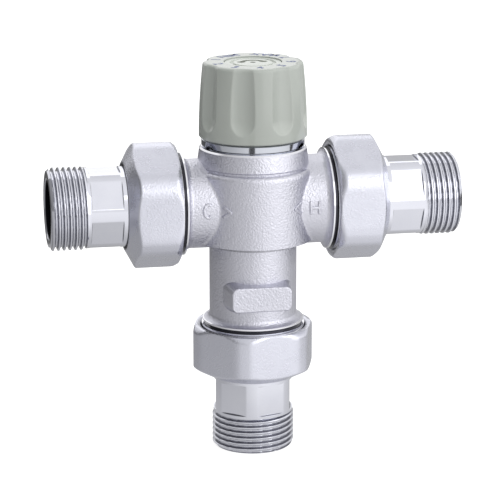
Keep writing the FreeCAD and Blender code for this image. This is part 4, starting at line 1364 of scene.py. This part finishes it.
# ============================================================================ studio
@dataclass
class Studio:
    """White sweep, soft lamps and the camera.

    Attributes:
        azimuth: Camera's angle round the valve, degrees, 0 from the front.
        elevation: Camera's angle above the horizon, degrees.
        distance: Camera to its aim, metres.
        lens: Focal length, mm.
        sensor: Width of the sensor, mm.
        clip: Nearest distance that the camera sees, metres.
        aim_drop: Aim below the inlet axis, metres.
        shift: Sideways shift of the picture, as a share of its width.
        lamp_distance: Lamp to the camera's aim, metres.
        bright_side: Angle of the floor's bright side round the valve, degrees.
        sky_side: Bearing of the brightest surroundings above the floor, degrees.
        bright: Level of the surroundings on the bright side.
        dim: Level opposite to it.
        matt_share: Share of that level that lights matt surfaces.
        sweep: Level of the floor in reflections: alone, by d and by d^2.
        sweep_from: Distance from the valve's foot over which the last two fade in, metres.
        floor_half: Half the floor's width, metres.
        floor_colour: Colour of the floor, sRGB hex.
        floor_lift: White added to the floor for the camera.
        flag_lift: Height of the flags over the floor, metres.
    """
    azimuth: float = -10.7
    elevation: float = 14.45
    distance: float = 0.8
    lens: float = 178.9
    sensor: float = 36.0
    clip: float = 0.05
    aim_drop: float = 0.01635
    shift: float = -0.0058
    lamp_distance: float = 0.7
    bright_side: float = 30.0
    sky_side: tuple[float, float] = (62.0, 22.0)
    bright: float = 1.2
    dim: float = 0.12
    matt_share: float = 1.1
    sweep: tuple[float, float, float] = (0.62, 0.36, 0.16)
    sweep_from: float = 0.1
    floor_half: float = 3.0
    floor_colour: str = "B4B4B4"
    floor_lift: float = 0.8
    flag_lift: float = 2 * MM

    def bearing(self, azimuth: float, elevation: float) -> Vector:
        """Unit vector towards an angle round the valve and an angle above the horizon, degrees."""
        a, e = math.radians(azimuth), math.radians(elevation)
        return Vector((math.sin(a) * math.cos(e), -math.cos(a) * math.cos(e), math.sin(e)))

    def aim_at(self, thing: Piece, place: Vector, target: Vector) -> None:
        """Put a lamp or camera somewhere and turn it to a target."""
        thing.location = place
        thing.rotation_euler = (target - place).to_track_quat("-Z", "Y").to_euler()
        bpy.context.scene.collection.objects.link(thing)

    def camera(self, target: Vector) -> None:
        """Add the camera.

        Args:
            target: Point that it looks at.
        """
        data = bpy.data.cameras.new("camera")
        data.lens = self.lens
        data.sensor_width = self.sensor
        data.shift_x = self.shift
        data.clip_start = self.clip
        camera = bpy.data.objects.new("camera", data)
        self.aim_at(camera, target + self.bearing(self.azimuth, self.elevation) * self.distance, target)
        bpy.context.scene.camera = camera

    def lamp(self, name: str, azimuth: float, elevation: float, size: float, watts: float,
             target: Vector) -> None:
        """Add a soft square lamp.

        Args:
            name: The lamp's name.
            azimuth: Its angle round the valve, degrees, 0 from the front and 90 from +X.
            elevation: Its angle above the horizon, degrees.
            size: Width, metres.
            watts: Power.
            target: Point that it faces.
        """
        data = bpy.data.lights.new(name, "AREA")
        data.size = size
        data.energy = watts
        lamp = bpy.data.objects.new(name, data)
        self.aim_at(lamp, target + self.bearing(azimuth, elevation) * self.lamp_distance, target)

    def rays(self, add: Callable[..., Node]) -> tuple[Socket, Node]:
        """Whether a ray is a glossy one, and whether it is the camera's or has passed through glass."""
        path = add("LightPath")
        direct = add("Math.MAXIMUM", path.outputs["Is Camera Ray"], path.outputs["Is Transmission Ray"])
        return path.outputs["Is Glossy Ray"], direct

    def world(self) -> None:
        """White background, which metal and glass show too, graded from a bright side to a dim one.

        The camera and light that passes through glass meet plain white. Reflections meet the white
        walls as they are lit: the level follows the dot product of a direction with the bright
        side's bearing, and matt surfaces are lit by the same walls a little higher.
        """
        world = bpy.data.worlds.new("studio")
        bpy.context.scene.world = world
        add = partial(add_node, empty_tree(world))
        glossy, direct = self.rays(add)
        place = add("TexCoord").outputs["Generated"]
        side = add("VectorMath.DOT_PRODUCT", place, self.bearing(*self.sky_side))
        level = add("MapRange", Value=side, From_Min=-1.0, To_Min=self.dim, To_Max=self.bright)
        graded = add("Mix.FLOAT", glossy, 1.0, level)
        matt = add("Math.MULTIPLY", level, self.matt_share)
        shown = add("Math.MAXIMUM", direct, glossy)
        strength = add("Mix.FLOAT", shown, matt, graded)
        light = add("Background", Color=linear("FFFFFF"), Strength=strength)
        add("OutputWorld", Surface=light)

    def floor(self) -> None:
        """A pale floor that the camera sees as white, with the valve's shadow kept on it.

        In reflections it goes on from the walls: with d the dot product of the bearing from the
        valve and the bright side's, its level is a + b d + c d^2, and a alone underneath.
        """
        material = bpy.data.materials.new("floor_pale")
        add = partial(add_node, empty_tree(material))
        alone, by_side, by_square = self.sweep
        glossy, direct = self.rays(add)
        place = add("TexCoord").outputs["Object"]
        bearing = add("VectorMath.NORMALIZE", place)
        side = add("VectorMath.DOT_PRODUCT", bearing, self.bearing(self.bright_side, 0.0))
        slope = add("Math.MULTIPLY_ADD", side, by_square, by_side)
        sweep = add("Math.MULTIPLY_ADD", side, slope, alone)
        reach = add("VectorMath.LENGTH", place)
        share = add("MapRange", Value=reach, From_Max=self.sweep_from)
        level = add("Mix.FLOAT", share, alone, sweep)
        mirrored = add("Emission", Color=linear("FFFFFF"), Strength=level)
        lift = add("Math.MULTIPLY", direct, self.floor_lift)
        white = add("Emission", Color=linear("FFFFFF"), Strength=lift)
        plain = add("BsdfDiffuse", Color=linear(self.floor_colour))
        lit = add("AddShader", plain, white)
        both = add("MixShader", glossy, lit, mirrored)
        add("OutputMaterial", Surface=both)
        half = self.floor_half
        points = np.array([(-half, -half, 0), (half, -half, 0), (half, half, 0), (-half, half, 0)])
        floor = mesh_piece("floor", points, np.array([[0, 1, 2, 3]]))
        floor.data.materials.append(material)

    def flag(self, name: str, left: float, right: float, near: float, far: float) -> None:
        """Lay a black flag on the floor, out of the picture, for the dark streaks in the chrome.

        Args:
            name: The flag's name.
            left: Angle round the valve of one side, degrees.
            right: Angle of the other side, degrees.
            near: Distance of the near end from the valve axis, metres.
            far: Distance of the far end, metres.
        """
        corners = [self.bearing(side, 0.0) * reach + Vector((0, 0, self.flag_lift))
                   for side, reach in ((left, near), (left, far), (right, far), (right, near))]
        piece = mesh_piece(name, np.array(corners), np.array([[0, 1, 2, 3]]))
        # Black wool serge, which in this soft light is a dark grey without any shine
        piece.data.materials.append(Finish("black_flag_cloth", "3E3E3E", "464646", 0.0, 0.9, 0.02,
                                           5.0, 1.0, 0.0).material())
        piece.visible_camera = False
        piece.visible_diffuse = False
        piece.visible_shadow = False

    def build(self) -> None:
        """Set up the whole studio."""
        bpy.context.scene.view_settings.view_transform = "Standard"
        target = Vector((0.0, 0.0, AXIS_Z - self.aim_drop))
        self.camera(target)
        self.lamp("panel_lamp", 38, 20, 0.75, 1.5, target)
        self.lamp("rim_lamp", -165, 38, 0.8, 1.35, target)
        self.flag("front_flag", -19.0, -6.0, 0.33, 0.9)
        self.flag("right_flag", 78.0, 112.0, 0.3, 0.9)
        self.flag("left_flag", -172.0, -126.0, 0.3, 0.9)
        self.world()
        self.floor()


def main() -> None:
    """Build the finishes, the unions, the knob, the marks and the studio, in that order."""
    logging.basicConfig(level=logging.INFO)
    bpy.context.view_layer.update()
    finishes = Finishes()
    dress_solids(finishes)
    for port in PORTS:
        Tailpiece(port).build(finishes)
        UnionNut(port).build(finishes)
    Knob().build(finishes)
    Dial().build(finishes)
    RaisedMarks().build(finishes)
    Studio().build()


if __name__ == "__main__":
    main()
